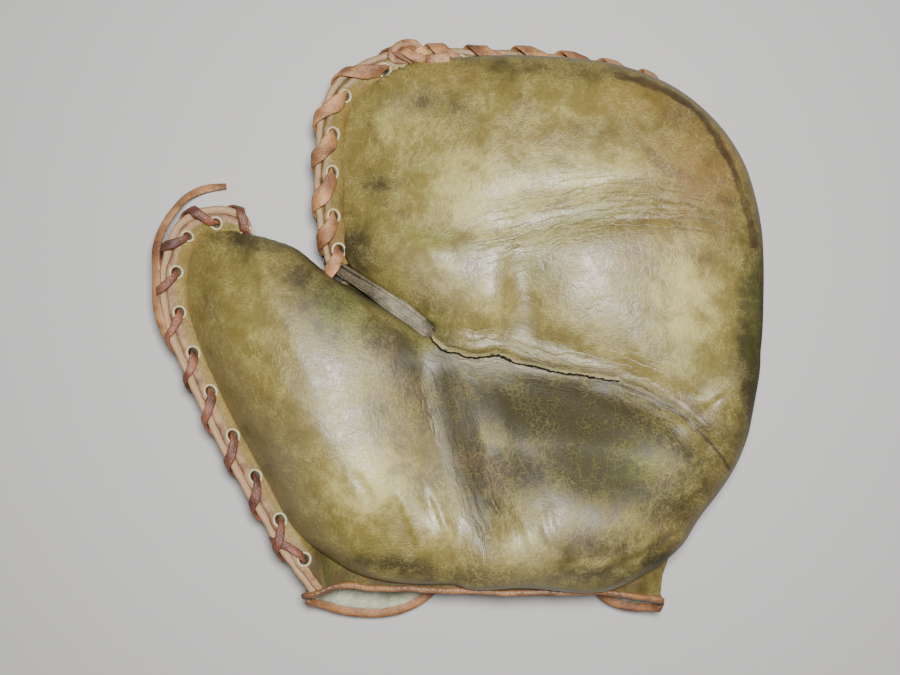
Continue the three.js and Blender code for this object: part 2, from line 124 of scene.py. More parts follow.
def smooth_line(points, count, closed=False):
    """A smooth curve through points, as count evenly spaced places. Extra columns are carried along."""
    points = np.asarray(points, float)
    if closed:
        points = np.vstack([points[-1:], points, points[:2]])
    else:
        points = np.vstack([2 * points[0] - points[1], points, 2 * points[-1] - points[-2]])
    knots = np.concatenate([[0], np.cumsum(np.linalg.norm(np.diff(points[:, :3], axis=0), axis=1) ** 0.5)])
    fine = []
    for i in range(1, len(points) - 2):
        k0, k1, k2, k3 = knots[i - 1:i + 3]
        t = np.linspace(k1, k2, 60, endpoint=False)[:, None]
        p0, p1, p2, p3 = points[i - 1:i + 3]
        a1 = ((k1 - t) * p0 + (t - k0) * p1) / (k1 - k0)
        a2 = ((k2 - t) * p1 + (t - k1) * p2) / (k2 - k1)
        a3 = ((k3 - t) * p2 + (t - k2) * p3) / (k3 - k2)
        b1 = ((k2 - t) * a1 + (t - k0) * a2) / (k2 - k0)
        b2 = ((k3 - t) * a2 + (t - k1) * a3) / (k3 - k1)
        fine.append(((k2 - t) * b1 + (t - k1) * b2) / (k2 - k1))
    fine = np.vstack(fine + [points[-2:-1]])
    walked = np.concatenate([[0], np.cumsum(np.linalg.norm(np.diff(fine[:, :3], axis=0), axis=1))])
    stops = np.linspace(0, walked[-1], count, endpoint=not closed)
    return np.stack([np.interp(stops, walked, column) for column in fine.T], axis=1)


def unit(rows):
    """Rows of directions, each made 1 long."""
    return rows / np.linalg.norm(rows, axis=1)[:, None]


def length_of(line):
    return float(np.linalg.norm(np.diff(line, axis=0), axis=1).sum())


class Rim:
    """A laced rim, sampled evenly: the flange's cut edge and the directions along, out of and over it."""

    def __init__(self, table, count):
        rows = np.array([tuple(place) + row[3:] for place, row in zip(places(table), table)])
        self.line = smooth_line(rows, count)
        self.point, self.lean, self.roll = self.line[:, :3], self.line[:, 3] * FLANGE_LEAN, self.line[:, 4]
        self.length = length_of(self.point)
        self.along = unit(np.gradient(self.point, axis=0))
        outward = unit(np.stack([-self.along[:, 1], self.along[:, 0], 0 * self.lean], axis=1))
        cos, sin, up = np.cos(self.lean)[:, None], np.sin(self.lean)[:, None], np.array([0, 0, 1])
        self.out, self.over = outward * cos + up * sin, up * cos - outward * sin

    def beside(self, share, out, over):
        """Places at shares of the rim: out of the cut edge along the flange, over its middle plane."""
        share, out, over = np.broadcast_arrays(share, out, over)
        stop = np.clip(share, 0, 1) * (len(self.point) - 1)
        low = np.minimum(stop.astype(int), len(self.point) - 2)
        part = (stop - low)[..., None]

        def between(rows):
            return rows[low] * (1 - part) + rows[low + 1] * part

        lift = np.sin(between(self.lean[:, None])) * (0, 0, FLANGE_WIDTH)
        past = (share - np.clip(share, 0, 1))[..., None] * self.length
        base = between(self.point) + lift + between(self.along) * past
        return base + between(self.out) * out[..., None] + between(self.over) * over[..., None]

    def pad(self):
        """The pad's widest places above the flange, with how full it is there: the lower, the steeper."""
        share = np.linspace(0, 1, len(self.point))
        widest = self.beside(share, -PAD_INSET * (1 - self.roll), 0)
        widest[:, 2] = self.point[:, 2] + PAD_RISE * np.minimum(4 * self.roll, 1)
        full = FLAT_EDGE - STEEPER_BY_ROLL * np.minimum(self.roll, 1)
        return np.hstack([widest, full[:, None]])


thumb_rim, finger_rim = Rim(THUMB_RIM, THUMB_STOPS), Rim(FINGER_RIM, FINGER_STOPS)


# Palm: one olive leather skin over stuffing, in a thumb, a finger and a heel lobe. Each lobe is a stuffed
# form over its outline. They are grown together, then creased and worn, and given painted highlights, sheen
# and shade. The tables of folds, swells and patches are read off the photograph, so their places u and v are
# its pixels.
PHOTO_FOCAL = PHOTO_WIDTH * LENS / SENSOR
HAND_HEIGHT = 0.03
THUMB_SIDE = [
    # x, y, z
    (-0.255, 0.155, 0.4), (-0.2, 0.11, 0.42), (-0.118, 0.058, 0.46), (-0.045, 0.008, 0.5),
    (0.02, -0.06, 0.52), (0.062, -0.15, 0.53), (0.09, -0.26, 0.54), (0.105, -0.36, 0.56),
    (0.1, -0.4, 0.58), (0, -0.406, 0.6), (-0.1, -0.403, 0.58), (-0.163, -0.388, 0.52),
]
FINGER_CREASE = [
    # x, y, z
    (0.43, -0.235, 0.52), (0.33, -0.15, 0.58), (0.22, -0.09, 0.62), (0.11, -0.048, 0.62),
    (0.03, -0.028, 0.6), (-0.031, 0.02, 0.55), (-0.085, 0.059, 0.5), (-0.15, 0.106, 0.46),
]
HEEL_SIDE = [
    # x, y, z
    (0.25, -0.413, 0.6), (0.12, -0.409, 0.6), (0.01, -0.404, 0.6), (-0.02, -0.34, 0.55),
    (-0.035, -0.24, 0.52), (-0.06, -0.12, 0.5), (-0.06, -0.02, 0.48), (0.02, 0.03, 0.48),
    (0.12, 0.03, 0.5), (0.22, 0.01, 0.5), (0.33, -0.03, 0.48), (0.43, -0.09, 0.46),
]
CRESTS = {
    # x, y, z
    "thumb": (-0.17, -0.17, 0.92),
    "finger": (0.19, 0.16, 0.88),
    "heel": (0.16, -0.26, 0.97),
}
THUMB_FULL, SIDE_FULL = 0.75, 0.62
DENTS = [
    # x, y, half length and half width as shares of the width, turn in degrees, share of the depth
    (0.06, -0.13, 0.16, 0.12, -20, 0.24), (0.13, 0.2, 0.24, 0.04, 4, 0.05),
    (0.12, 0.06, 0.05, 0.12, -8, 0.06), (0.28, -0.1, 0.16, 0.035, -24, 0.06),
    (0.24, -0.2, 0.1, 0.06, -35, 0.06), (-0.03, 0.38, 0.1, 0.08, 30, 0.05),
]
FOLDS = [
    # depth in metres, half width in pixels, raised lip in metres, points along the fold in u and v
    (0.0042, 9, 0.0004, [(429, 335), (440, 348), (455, 353), (476, 358), (500, 356), (522, 365), (560, 372),
                         (622, 382)]),
    (0.0036, 9, 0.0004, [(600, 378), (650, 396), (690, 421), (722, 455), (731, 472)]),
    (0.0011, 7, 0.0002, [(560, 384), (610, 396), (650, 412), (690, 440), (722, 464)]),
    (0.0008, 8, 0.0001, [(600, 370), (650, 380), (700, 398), (742, 415)]),
    (0.0032, 20, 0.0, [(432, 348), (446, 385), (458, 425), (470, 465), (484, 505), (497, 545), (500, 572)]),
    (0.0011, 20, 0.0, [(460, 242), (510, 232), (560, 216), (620, 208), (690, 212), (745, 222)]),
    (0.0008, 3, 0.0003, [(590, 222), (640, 217), (690, 218), (738, 226)]),
    (0.0008, 3, 0.0003, [(600, 212), (650, 205), (700, 206), (742, 213)]),
    (0.0015, 17, 0.0, [(512, 246), (519, 280), (523, 315), (520, 345)]),
    (0.0014, 5, 0.0005, [(582, 583), (615, 567), (650, 550), (692, 524)]),
    (0.0012, 5, 0.0006, [(392, 492), (402, 515), (412, 540), (418, 565)]),
    (0.0012, 5, 0.0006, [(424, 488), (436, 515), (446, 540), (450, 566)]),
    (0.0008, 4, 0.0004, [(356, 470), (368, 490), (376, 512)]),
    (0.0008, 9, 0.0003, [(520, 440), (560, 466), (600, 484), (640, 496)]),
    (0.001, 5, 0.0005, [(505, 505), (520, 530), (530, 560)]),
    (0.0008, 4, 0.0004, [(540, 500), (548, 530), (560, 556)]),
    (0.0007, 4, 0.0003, [(325, 175), (360, 178), (400, 182), (440, 190)]),
    (0.0007, 4, 0.0003, [(328, 225), (360, 222), (400, 226), (430, 236)]),
]
CRACK, CREASE, THUMB_SIDE_FOLD, FINGER_FOLD = 0, 1, 4, 5
WRINKLES = {
    # the fold they run beside, its reach in pixels, the axis along it, waves across a pixel, waves a metre
    "bend": (CRACK, 24, 0, 0.3, 45), "turn": (CREASE, 24, 0, 0.3, 45),
    "furrow": (FINGER_FOLD, 30, 0, 0.25, 35), "hollow": (THUMB_SIDE_FOLD, 28, 1, 0.2, 35),
}
SWELLS = [
    # u, v, half length and half width in pixels, turn in degrees, rise in metres
    (432, 262, 34, 18, 30, 0.002), (490, 300, 26, 22, 0, 0.0018), (525, 545, 34, 26, -15, 0.003),
    (372, 478, 30, 44, 20, 0.0015), (440, 530, 16, 34, 10, 0.0022), (690, 428, 30, 10, 35, 0.002),
    (480, 200, 60, 34, 0, 0.0012), (610, 182, 80, 22, -5, 0.0016), (500, 430, 14, 50, -12, -0.0015),
]
PATCHES = {
    # u, v, half length and half width in pixels, turn in degrees, strength
    # worn leather and painted highlight: these lie on the pads' lit tops
    "worn_and_highlit": [
        (480, 195, 75, 50, 0, 0.8), (600, 175, 90, 32, -8, 0.75), (685, 300, 42, 80, 0, 0.8),
        (432, 262, 50, 26, 32, 0.7), (495, 300, 42, 36, 0, 0.55), (600, 300, 60, 40, 0, 0.45),
        (660, 370, 60, 26, 12, 0.55), (375, 480, 50, 50, 0, 0.95), (320, 410, 44, 60, 30, 0.6),
        (440, 525, 26, 36, 10, 0.75), (525, 545, 36, 30, 0, 0.75), (250, 320, 36, 60, 20, 0.35),
        (400, 130, 50, 36, 0, 0.45), (640, 530, 44, 18, 30, 0.35), (560, 110, 90, 26, 0, 0.42),
        (690, 430, 26, 9, 35, 0.6), (620, 500, 40, 20, 20, 0.3),
    ],
    # dark oiled stains, and painted shade in the pocket, the thumb-heel valley and along steep edges
    "dark": [
        (570, 418, 125, 42, 12, 1.0), (600, 472, 90, 40, 22, 0.9), (462, 430, 20, 95, -14, 1.0),
        (610, 540, 80, 22, -8, 0.4), (520, 470, 60, 40, 0, 0.6), (300, 420, 26, 60, 30, 0.2),
        (345, 250, 24, 22, 0, 0.85), (757, 330, 16, 110, 3, 1.0), (335, 305, 30, 36, -30, 0.6),
        (392, 345, 52, 22, 40, 0.6), (480, 575, 60, 10, 0, 0.5), (400, 565, 50, 10, 5, 0.5),
        (330, 160, 12, 90, 0, 0.55), (690, 480, 40, 26, 40, 0.4), (380, 185, 22, 8, 0, 0.5),
        (374, 133, 4, 20, -25, 0.5), (660, 560, 22, 26, 30, 0.6), (425, 103, 16, 12, 0, 0.5),
        (240, 240, 44, 12, 12, 0.5), (300, 275, 26, 16, 40, 0.5), (460, 108, 14, 12, 0, 0.4),
        (595, 575, 60, 9, 0, 0.5), (520, 395, 70, 14, 10, 0.5), (706, 180, 34, 80, -28, 0.5),
        (560, 70, 110, 10, 3, 0.3), (650, 575, 26, 14, 20, 0.4),
    ],
    "green": [
        (440, 240, 50, 20, 20, 0.7), (560, 222, 60, 12, -12, 0.8), (545, 262, 26, 22, 0, 0.6),
        (345, 310, 40, 40, 0, 0.7), (750, 300, 12, 60, 0, 0.7), (640, 470, 50, 34, 0, 0.45),
        (420, 330, 30, 30, 40, 0.5), (690, 360, 60, 20, 10, 0.4), (430, 170, 40, 20, 0, 0.3),
    ],
    "brown": [
        (215, 400, 14, 70, -27, 0.8), (255, 485, 14, 50, -32, 0.7), (180, 310, 12, 60, -8, 0.7),
        (215, 240, 36, 10, -15, 0.4), (335, 130, 12, 50, 0, 0.6), (700, 175, 46, 66, -35, 0.7),
        (640, 100, 60, 26, 18, 0.45), (330, 205, 16, 20, 0, 0.6), (300, 550, 30, 12, 35, 0.6),
        (240, 395, 26, 40, -27, 0.4), (470, 75, 90, 12, 0, 0.3), (610, 265, 24, 14, 0, 0.35),
    ],
    # painted sheen: grey shine where the leather faces the lamp
    "grey": [
        (500, 366, 70, 7, 4, 1.0), (462, 405, 9, 40, -14, 0.3), (520, 330, 14, 22, 0, 0.5),
        (440, 280, 50, 16, 35, 0.4), (440, 470, 20, 60, -10, 0.4), (650, 395, 60, 6, 22, 0.8),
        (400, 105, 20, 14, 0, 0.3), (290, 460, 30, 50, 0, 0.25), (540, 580, 60, 10, 0, 0.3),
        (395, 440, 26, 34, 0, 0.35), (528, 548, 26, 26, 0, 0.5), (310, 330, 34, 50, -35, 0.3),
    ],
}
EDGE_BAND = [(612, 74), (650, 84), (690, 106), (716, 138), (736, 176), (748, 214), (754, 250)]
FAR_OFF = 60
PAD_VOXEL = 0.00135
PAD_STEP, THUMB_START, CREASE_END, HEEL_START, HEEL_END = 16, 28, 422, 396, 504
FULLNESS_BLUR = 160
SOFTENED = [
    # u, v, half length and half width in pixels, turn in degrees, times
    (700, 405, 75, 48, -25, 40), (465, 445, 115, 26, 76, 14), (600, 390, 60, 16, 10, 10),
]


def read_points(mesh):
    points = np.empty(3 * len(mesh.vertices))
    mesh.vertices.foreach_get("co", points)
    return points.reshape(-1, 3)


def read_normals(mesh):
    normals = np.empty(3 * len(mesh.vertices))
    mesh.vertices.foreach_get("normal", normals)
    return normals.reshape(-1, 3)


def write_points(mesh, points):
    mesh.vertices.foreach_set("co", np.ascontiguousarray(points, float).ravel())
    mesh.update()


def write_value(mesh, name, values):
    """A value in each corner of a mesh, for its paint to read. A corner without one reads 0."""
    values = np.ascontiguousarray(np.broadcast_to(values, len(mesh.vertices)), float)
    mesh.attributes.new(name, "FLOAT", "POINT").data.foreach_set("value", values)


def off_the_folds(mesh):
    """The palm's paint draws its crack, its fold and its scuffed band far from this mesh."""
    for kind in ("crack", "fold", "band"):
        write_value(mesh, kind, FAR_OFF)


def add_piece(name, mesh, paint, slot, *nodes, wear=None):
    """A piece of the mitt, riding on its one body and standing for CAD nodes. The slot argument is not used.
    """
    mesh.name = name
    if wear is not None:
        write_value(mesh, "wear", wear)
    mesh.shade_smooth()
    mesh.materials.append(paint)
    piece = bpy.data.objects.new(name, mesh)
    bpy.context.collection.objects.link(piece)
    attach(piece, "root")
    if nodes:
        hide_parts(*nodes)
    return piece


def seen_at(points):
    """The photograph's pixels at which places are seen."""
    away = points - (MIDDLE[0], MIDDLE[1], CAMERA_HEIGHT)
    u = PHOTO_WIDTH / 2 - PHOTO_FOCAL * away[:, 0] / away[:, 2]
    v = PHOTO_HEIGHT / 2 + PHOTO_FOCAL * away[:, 1] / away[:, 2]
    return np.stack([u, v], axis=1)


def soft_spot(at, u, v, long, wide, turn):
    """A soft oval spot round a place, 1 in its middle and falling to 0 past its half length and width."""
    cos, sin = math.cos(math.radians(turn)), math.sin(math.radians(turn))
    du, dv = at[:, 0] - u, at[:, 1] - v
    a, b = (du * cos + dv * sin) / long, (dv * cos - du * sin) / wide
    return np.exp(-a * a - b * b)


def beside_line(at, line):
    """Signed distance of places from an open line, positive on its left, and 1 along it, 0 at its ends."""
    line = smooth_line([(u, v, 0) for u, v in line], 60)[:, :2]
    far = np.full(len(at), np.inf)
    side = np.zeros(len(at))
    beyond = np.zeros(len(at))
    for i, (start, end) in enumerate(zip(line, line[1:])):
        way = end - start
        span = np.hypot(*way)
        share = (at - start) @ way / span ** 2
        off = at - start - np.clip(share, 0, 1)[:, None] * way
        distance = np.hypot(off[:, 0], off[:, 1])
        nearer = distance < far
        far[nearer] = distance[nearer]
        cross = way[0] * (at[:, 1] - start[1]) - way[1] * (at[:, 0] - start[0])
        side[nearer] = -np.sign(cross)[nearer]
        beyond[nearer] = (i + np.clip(share, 0, 1))[nearer] / (len(line) - 1)
    ends = np.clip(5 * beyond, 0, 1) * np.clip(5 - 5 * beyond, 0, 1)
    return far * side, ends


def pillow(outline, crest, floor, sides=160, tiers=64):
    """A stuffed closed form over an outline, with its top swelling to the crest and its underside to floor.
    The outline's fourth column is how full the form is there."""
    edge = smooth_line(outline, sides, closed=True)
    for _ in range(FULLNESS_BLUR):
        edge[:, 3] = (np.roll(edge[:, 3], 1) + 2 * edge[:, 3] + np.roll(edge[:, 3], -1)) / 4
    centre = places([crest])[0]
    ball = bmesh.new()
    bmesh.ops.create_uvsphere(ball, u_segments=sides, v_segments=tiers, radius=1)
    mesh = bpy.data.meshes.new("lobe")
    ball.to_mesh(mesh)
    ball.free()
    unit = read_points(mesh)
    reach = np.minimum(np.hypot(unit[:, 0], unit[:, 1]), 1)
    turn = np.round(np.arctan2(unit[:, 1], -unit[:, 0]) / (2 * np.pi) % 1 * sides).astype(int) % sides
    swell = np.abs(unit[:, 2]) ** edge[turn, 3]
    points = centre + (edge[turn, :3] - centre) * reach[:, None]
    goal = np.where(unit[:, 2] > 0, centre[2], floor)
    points[:, 2] = edge[turn, 2] + (goal - edge[turn, 2]) * swell
    share = (points - MIDDLE) / WIDTH
    sunk = 0
    for x, y, long, wide, angle, deep in DENTS:
        sunk += deep * DEPTH * soft_spot(share, x, y * LENGTH / WIDTH, long, wide, angle)
    points[:, 2] -= np.where(unit[:, 2] > 0, sunk * swell, 0)
    write_points(mesh, points)
    return mesh


def merged(meshes):
    """Several meshes as one."""
    whole = bmesh.new()
    for mesh in meshes:
        whole.from_mesh(mesh)
    mesh = bpy.data.meshes.new("merged")
    whole.to_mesh(mesh)
    whole.free()
    return mesh


def modified(mesh, kind, **settings):
    """A mesh as one modifier leaves it."""
    carrier = bpy.data.objects.new("carrier", mesh)
    bpy.context.collection.objects.link(carrier)
    modifier = carrier.modifiers.new("change", kind)
    for key, value in settings.items():
        setattr(modifier, key, value)
    result = bpy.data.meshes.new_from_object(carrier.evaluated_get(bpy.context.evaluated_depsgraph_get()))
    bpy.data.objects.remove(carrier)
    return result


def grown_together(meshes, voxel):
    """One skin round several closed forms."""
    return modified(merged(meshes), "REMESH", mode="VOXEL", voxel_size=voxel)


def relax(mesh, times, chosen=None):
    """The mesh smoothed, all of it or only its chosen corners."""
    form = bmesh.new()
    form.from_mesh(mesh)
    form.verts.ensure_lookup_table()
    corners = form.verts if chosen is None else [form.verts[i] for i in np.flatnonzero(chosen)]
    every_way = {"use_axis_x": True, "use_axis_y": True, "use_axis_z": True}
    for _ in range(times):
        bmesh.ops.smooth_vert(form, verts=corners, factor=0.5, **every_way)
    form.to_mesh(mesh)
    form.free()


def with_side(rim_part, side, full):
    """A lobe's outline: a part of a padded rim, and then the lobe's side, which is equally full all along."""
    return np.vstack([rim_part, np.hstack([places(side), np.full((len(side), 1), full)])])


finger_pad = finger_rim.pad()
outlines = {
    "thumb": with_side(thumb_rim.pad()[THUMB_START::PAD_STEP], THUMB_SIDE, THUMB_FULL),
    "finger": with_side(finger_pad[:CREASE_END:PAD_STEP], FINGER_CREASE, SIDE_FULL),
    "heel": with_side(finger_pad[HEEL_START:HEEL_END:PAD_STEP], HEEL_SIDE, SIDE_FULL),
}
palm_mesh = grown_together([pillow(outlines[lobe], CRESTS[lobe], HAND_HEIGHT) for lobe in CRESTS], PAD_VOXEL)
relax(palm_mesh, 4)
at = seen_at(read_points(palm_mesh))
for u, v, long, wide, turn, times in SOFTENED:
    for longer, wider, part in ((1, 1, 1), (1.2, 1.3, 4)):
        soft = soft_spot(at, u, v, longer * long, wider * wide, turn)
        relax(palm_mesh, times // part, soft > math.exp(-1))
skin, facing = read_points(palm_mesh), read_normals(palm_mesh)
upward = np.clip(3 * facing[:, 2], 0, 1)
at = seen_at(skin)
for depth, width, lip, line in FOLDS:
    beside, ends = beside_line(at, line)
    near, beyond = (0.5 * width, 1.6 * width) if lip else (width, width)
    valley = np.exp(-(np.minimum(beside, 0) / beyond) ** 2 - (np.maximum(beside, 0) / near) ** 2)
    ridge = np.exp(-((beside - 1.1 * width) / (0.8 * width)) ** 2)
    skin[:, 2] += (lip * ridge - depth * valley) * ends * upward
for *spot, rise in SWELLS:
    skin[:, 2] += rise * soft_spot(at, *spot) * upward
write_points(palm_mesh, skin)
relax(palm_mesh, 1)
for kind, patches in PATCHES.items():
    share = np.zeros(len(at))
    for *spot, strength in patches:
        share = np.maximum(share, strength * soft_spot(at, *spot))
    write_value(palm_mesh, kind, share)
for kind, line in (("crack", FOLDS[CRACK][3]), ("fold", FOLDS[CREASE][3]), ("band", EDGE_BAND)):
    beside, ends = beside_line(at, line)
    beside = np.abs(beside) if kind == "band" else beside
    write_value(palm_mesh, kind, np.where(ends > 0.02, beside, FAR_OFF))
for kind, (fold, reach, _, _, _) in WRINKLES.items():
    beside, ends = beside_line(at, FOLDS[fold][3])
    write_value(palm_mesh, kind, beside)
    write_value(palm_mesh, kind + "_near", ends * np.exp(-(beside / reach) ** 2))
# low: painted shade on the skin's steep sides, darker the less it faces up
write_value(palm_mesh, "low", np.clip(1.3 - 2 * read_normals(palm_mesh)[:, 2], 0, 1))


class Paint:
    """A node material built up step by step. Values may be numbers, colours or other nodes' sockets."""

    def __init__(self, name):
        self.material = bpy.data.materials.new(name)
        self.material.use_nodes = True
        self.tree = self.material.node_tree
        self.surface = self.tree.nodes["Principled BSDF"]
        self.place = self.node("TexCoord").outputs["Object"]

    def node(self, kind, sockets=None, **settings):
        made = self.tree.nodes.new("ShaderNode" + kind)
        for key, value in settings.items():
            setattr(made, key, value)
        for key, value in (sockets or {}).items():
            self.join(value, made.inputs[key])
        return made

    def join(self, value, socket):
        if isinstance(value, bpy.types.NodeSocket):
            self.tree.links.new(value, socket)
        else:
            socket.default_value = value

    def set(self, **values):
        for key, value in values.items():
            self.join(value, self.surface.inputs[key.replace("_", " ")])

    def value(self, name):
        """A value that the piece's mesh carries in each corner."""
        return self.node("Attribute", attribute_name=name).outputs["Fac"]

    def stretched(self, x, y, z=1.0, turn=0.0):
        sockets = {"Vector": self.place, "Scale": (x, y, z), "Rotation": (0, 0, math.radians(turn))}
        return self.node("Mapping", sockets).outputs[0]

    def noise(self, scale, detail=3.0, rough=0.55, bent=0.0, place=None):
        sockets = {"Vector": place or self.place, "Scale": scale, "Detail": detail, "Roughness": rough,
                   "Distortion": bent}
        return self.node("TexNoise", sockets).outputs["Fac"]

    def wander(self, place, scale, far):
        """A place moved about by noise, so that what is drawn there runs unevenly."""
        stir = self.node("TexNoise", {"Vector": place, "Scale": scale, "Detail": 2.0}).outputs["Color"]
        centred = self.node("VectorMath", {0: stir, 1: (0.5, 0.5, 0.5)}, operation="SUBTRACT").outputs[0]
        moved = self.node("VectorMath", {0: centred, "Scale": far}, operation="SCALE").outputs[0]
        return self.node("VectorMath", {0: place, 1: moved}, operation="ADD").outputs[0]

    def veins(self, scale, thin, place):
        """The net of fine lines between leather grains, 1 on a line."""
        sockets = {"Vector": place, "Scale": scale, "Randomness": 1.0}
        far = self.node("TexVoronoi", sockets, feature="DISTANCE_TO_EDGE").outputs["Distance"]
        return self.range(far, thin, 0.0)

    def streaks(self, name, axis, across, lengthways):
        """Noise drawn out along a line, from the mesh's value for the distance to it."""
        run = self.node("SeparateXYZ", {0: self.place}).outputs[axis]
        stray = self.swing(self.noise(70, 3, 0.6), 16)
        sockets = {0: self.times(self.sum(self.value(name), stray), across), 1: self.times(run, lengthways)}
        return self.noise(1.0, 3.0, 0.6, 0.5, self.node("CombineXYZ", sockets).outputs[0])

    def range(self, value, low, high, to_low=0.0, to_high=1.0):
        sockets = {"Value": value, "From Min": low, "From Max": high, "To Min": to_low, "To Max": to_high}
        return self.node("MapRange", sockets, interpolation_type="SMOOTHSTEP").outputs["Result"]

    def sum(self, a, b):
        return self.node("Math", {0: a, 1: b}, operation="ADD").outputs[0]

    def times(self, a, b):
        return self.node("Math", {0: a, 1: b}, operation="MULTIPLY").outputs[0]

    def swing(self, noise, far):
        """Noise from 0 to 1 as a swing to both sides of 0."""
        return self.times(self.sum(noise, -0.5), far)

    def blend(self, share, a, b):
        """Two colours mixed. A colour is red, green and blue, or a node's socket."""
        a, b = ((*colour, 1) if isinstance(colour, tuple) else colour for colour in (a, b))
        return self.node("Mix", {0: share, 6: a, 7: b}, data_type="RGBA", clamp_factor=True).outputs[2]

    def bump(self, height, strength, depth, over=None):
        sockets = {"Height": height, "Strength": strength, "Distance": depth}
        if over:
            sockets["Normal"] = over
        return self.node("Bump", sockets).outputs["Normal"]


PALM_DEEP, PALM_OLIVE = (0.028, 0.022, 0.008), (0.14, 0.107, 0.025)
CUT_EDGE_DARK, CUT_EDGE = (0.13, 0.06, 0.026), (0.3, 0.18, 0.09)
PALM_TONES = {
    # rubbed_and_highlit: worn leather and painted highlight
    "rubbed_and_highlit": (0.32, 0.275, 0.085), "green": (0.1, 0.115, 0.024), "brown": (0.2, 0.115, 0.026),
    # grey: painted sheen
    "spots": (0.07, 0.042, 0.022), "grey": (0.2, 0.18, 0.14), "net": (0.4, 0.35, 0.12),
    # slit: painted shade, a near-black line in the crack
    # wrinkles: painted shade in the fine wrinkles
    "wrinkles": (0.045, 0.033, 0.014), "torn": (0.32, 0.26, 0.12), "slit": (0.006, 0.005, 0.003),
    # groove: painted shade along the crease
    # low: painted shade on steep sides
    "groove": (0.02, 0.015, 0.008), "scuffed": (0.04, 0.023, 0.008), "low": (0.032, 0.025, 0.009),
}


def palm_paint():
    """The palm's leather: olive, with its worn, dirty and cracked parts, its painted highlights and sheen and
    its painted shade laid over it tone by tone.
    """
    paint = Paint("olive leather, worn")
    blotch = paint.noise(22, 4, 0.6, 0.4)
    mottle = paint.noise(95, 5, 0.65, 0.3)
    fibre = paint.noise(420, 4, 0.7, 0.6)
    stain = paint.noise(38, 5, 0.6, 0.8, paint.stretched(1, 1, 1, 40))
    # pale: worn leather and painted highlight, less dark stains and painted shade
    pale = paint.sum(paint.value("worn_and_highlit"), paint.times(paint.value("dark"), -1.6))
    for noise, far in ((mottle, 1.7), (blotch, 0.9), (fibre, 0.9)):
        pale = paint.sum(pale, paint.swing(noise, far))

    wide_net = paint.veins(340, 0.055, paint.wander(paint.stretched(1, 0.5, 1, 12), 130, 0.012))
    fine_net = paint.veins(760, 0.12, paint.wander(paint.stretched(0.6, 1, 1, -20), 240, 0.004))
    wide_net = paint.times(wide_net, paint.range(blotch, 0.42, 0.62, 0.05, 0.8))
    net = paint.sum(wide_net, paint.times(fine_net, paint.range(mottle, 0.4, 0.6, 0.1, 0.8)))
    net = paint.times(net, paint.range(paint.value("dark"), 0.1, 0.9, 1, 0.45))
    # wrinkle streaks, painted darker as painted shade, and bumped
    wrinkles = 0.0
    for line, (_, _, axis, across, lengthways) in WRINKLES.items():
        drawn = paint.range(paint.streaks(line, axis, across, lengthways), 0.5, 0.7)
        wrinkles = paint.sum(wrinkles, paint.times(paint.value(line + "_near"), drawn))

    ragged = paint.sum(paint.value("crack"), paint.swing(paint.noise(160, 4, 0.7), 9))
    wavy = paint.sum(paint.value("fold"), paint.swing(paint.noise(90, 3), 5))
    band = paint.sum(paint.value("band"), paint.swing(paint.noise(140, 4, 0.6), 11))
    torn = paint.times(paint.range(ragged, 0.3, 1.4), paint.range(ragged, 5.5, 3.0))
    # groove: where painted shade lies along the crease
    groove = paint.times(paint.range(wavy, -4, -0.6), paint.range(wavy, 1.2, 0.2))
    laid_over = {
        # worn leather and painted highlight
        "rubbed_and_highlit": paint.range(pale, 0.15, 1.15),
        "green": paint.times(paint.value("green"), paint.range(mottle, 0.35, 0.65, 0.2, 0.8)),
        "brown": paint.times(paint.value("brown"), paint.range(stain, 0.35, 0.6, 0.15, 1)),
        "spots": paint.times(paint.range(paint.sum(stain, paint.times(fibre, 0.25)), 0.66, 0.8), 0.55),
        # painted sheen
        "grey": paint.times(paint.value("grey"), 0.6),
        "net": paint.times(net, 0.3),
        # painted shade in the wrinkles
        "wrinkles": paint.times(wrinkles, 0.42),
        "torn": paint.times(torn, 0.6),
        # painted shade: a near-black line along the crack
        "slit": paint.times(paint.range(ragged, -1.9, -0.6), paint.range(ragged, 1.6, 0.4)),
        # painted shade along the crease
        "groove": paint.times(groove, 0.75),
        "scuffed": paint.times(paint.range(band, 5, 1.5), paint.range(stain, 0.35, 0.6, 0.5, 0.95)),
        # painted shade on steep sides
        "low": paint.times(paint.value("low"), 0.8),
    }
    # the deep olive is where the dark patches put stains and painted shade
    colour = paint.blend(paint.range(pale, -1.1, 0.35), PALM_DEEP, PALM_OLIVE)
    for tone, share in laid_over.items():
        colour = paint.blend(share, colour, PALM_TONES[tone])
    edge = paint.sum(paint.value("wear"), paint.swing(paint.noise(260, 3), 0.7))
    raw = paint.blend(paint.range(mottle, 0.4, 0.62), CUT_EDGE_DARK, CUT_EDGE)
    colour = paint.blend(paint.range(edge, 0.35, 0.65), colour, raw)

    rough = paint.sum(paint.times(net, 0.12), paint.range(mottle, 0.3, 0.7, 0.34, 0.48))
    rough = paint.sum(rough, paint.times(paint.value("dark"), 0.32))
    rough = paint.sum(rough, paint.times(paint.value("wear"), 0.3))
    shine = paint.range(paint.value("dark"), 0.1, 0.9, 0.55, 0.15)
    relief = paint.sum(paint.times(fibre, 0.4), paint.times(net, -0.14))
    relief = paint.sum(relief, paint.times(mottle, 1.5))
    normal = paint.bump(relief, 0.38, 0.0009)
    normal = paint.bump(paint.range(ragged, -1.2, 0.8), 0.9, 0.0012, normal)
    normal = paint.bump(paint.times(wrinkles, -1), 0.5, 0.0008, normal)
    paint.set(Base_Color=colour, Roughness=rough, Normal=normal, Specular_IOR_Level=shine)
    return paint.material


palm_leather = palm_paint()
palm = add_piece("palm", palm_mesh, palm_leather, "palm_leather", "palm_pad")

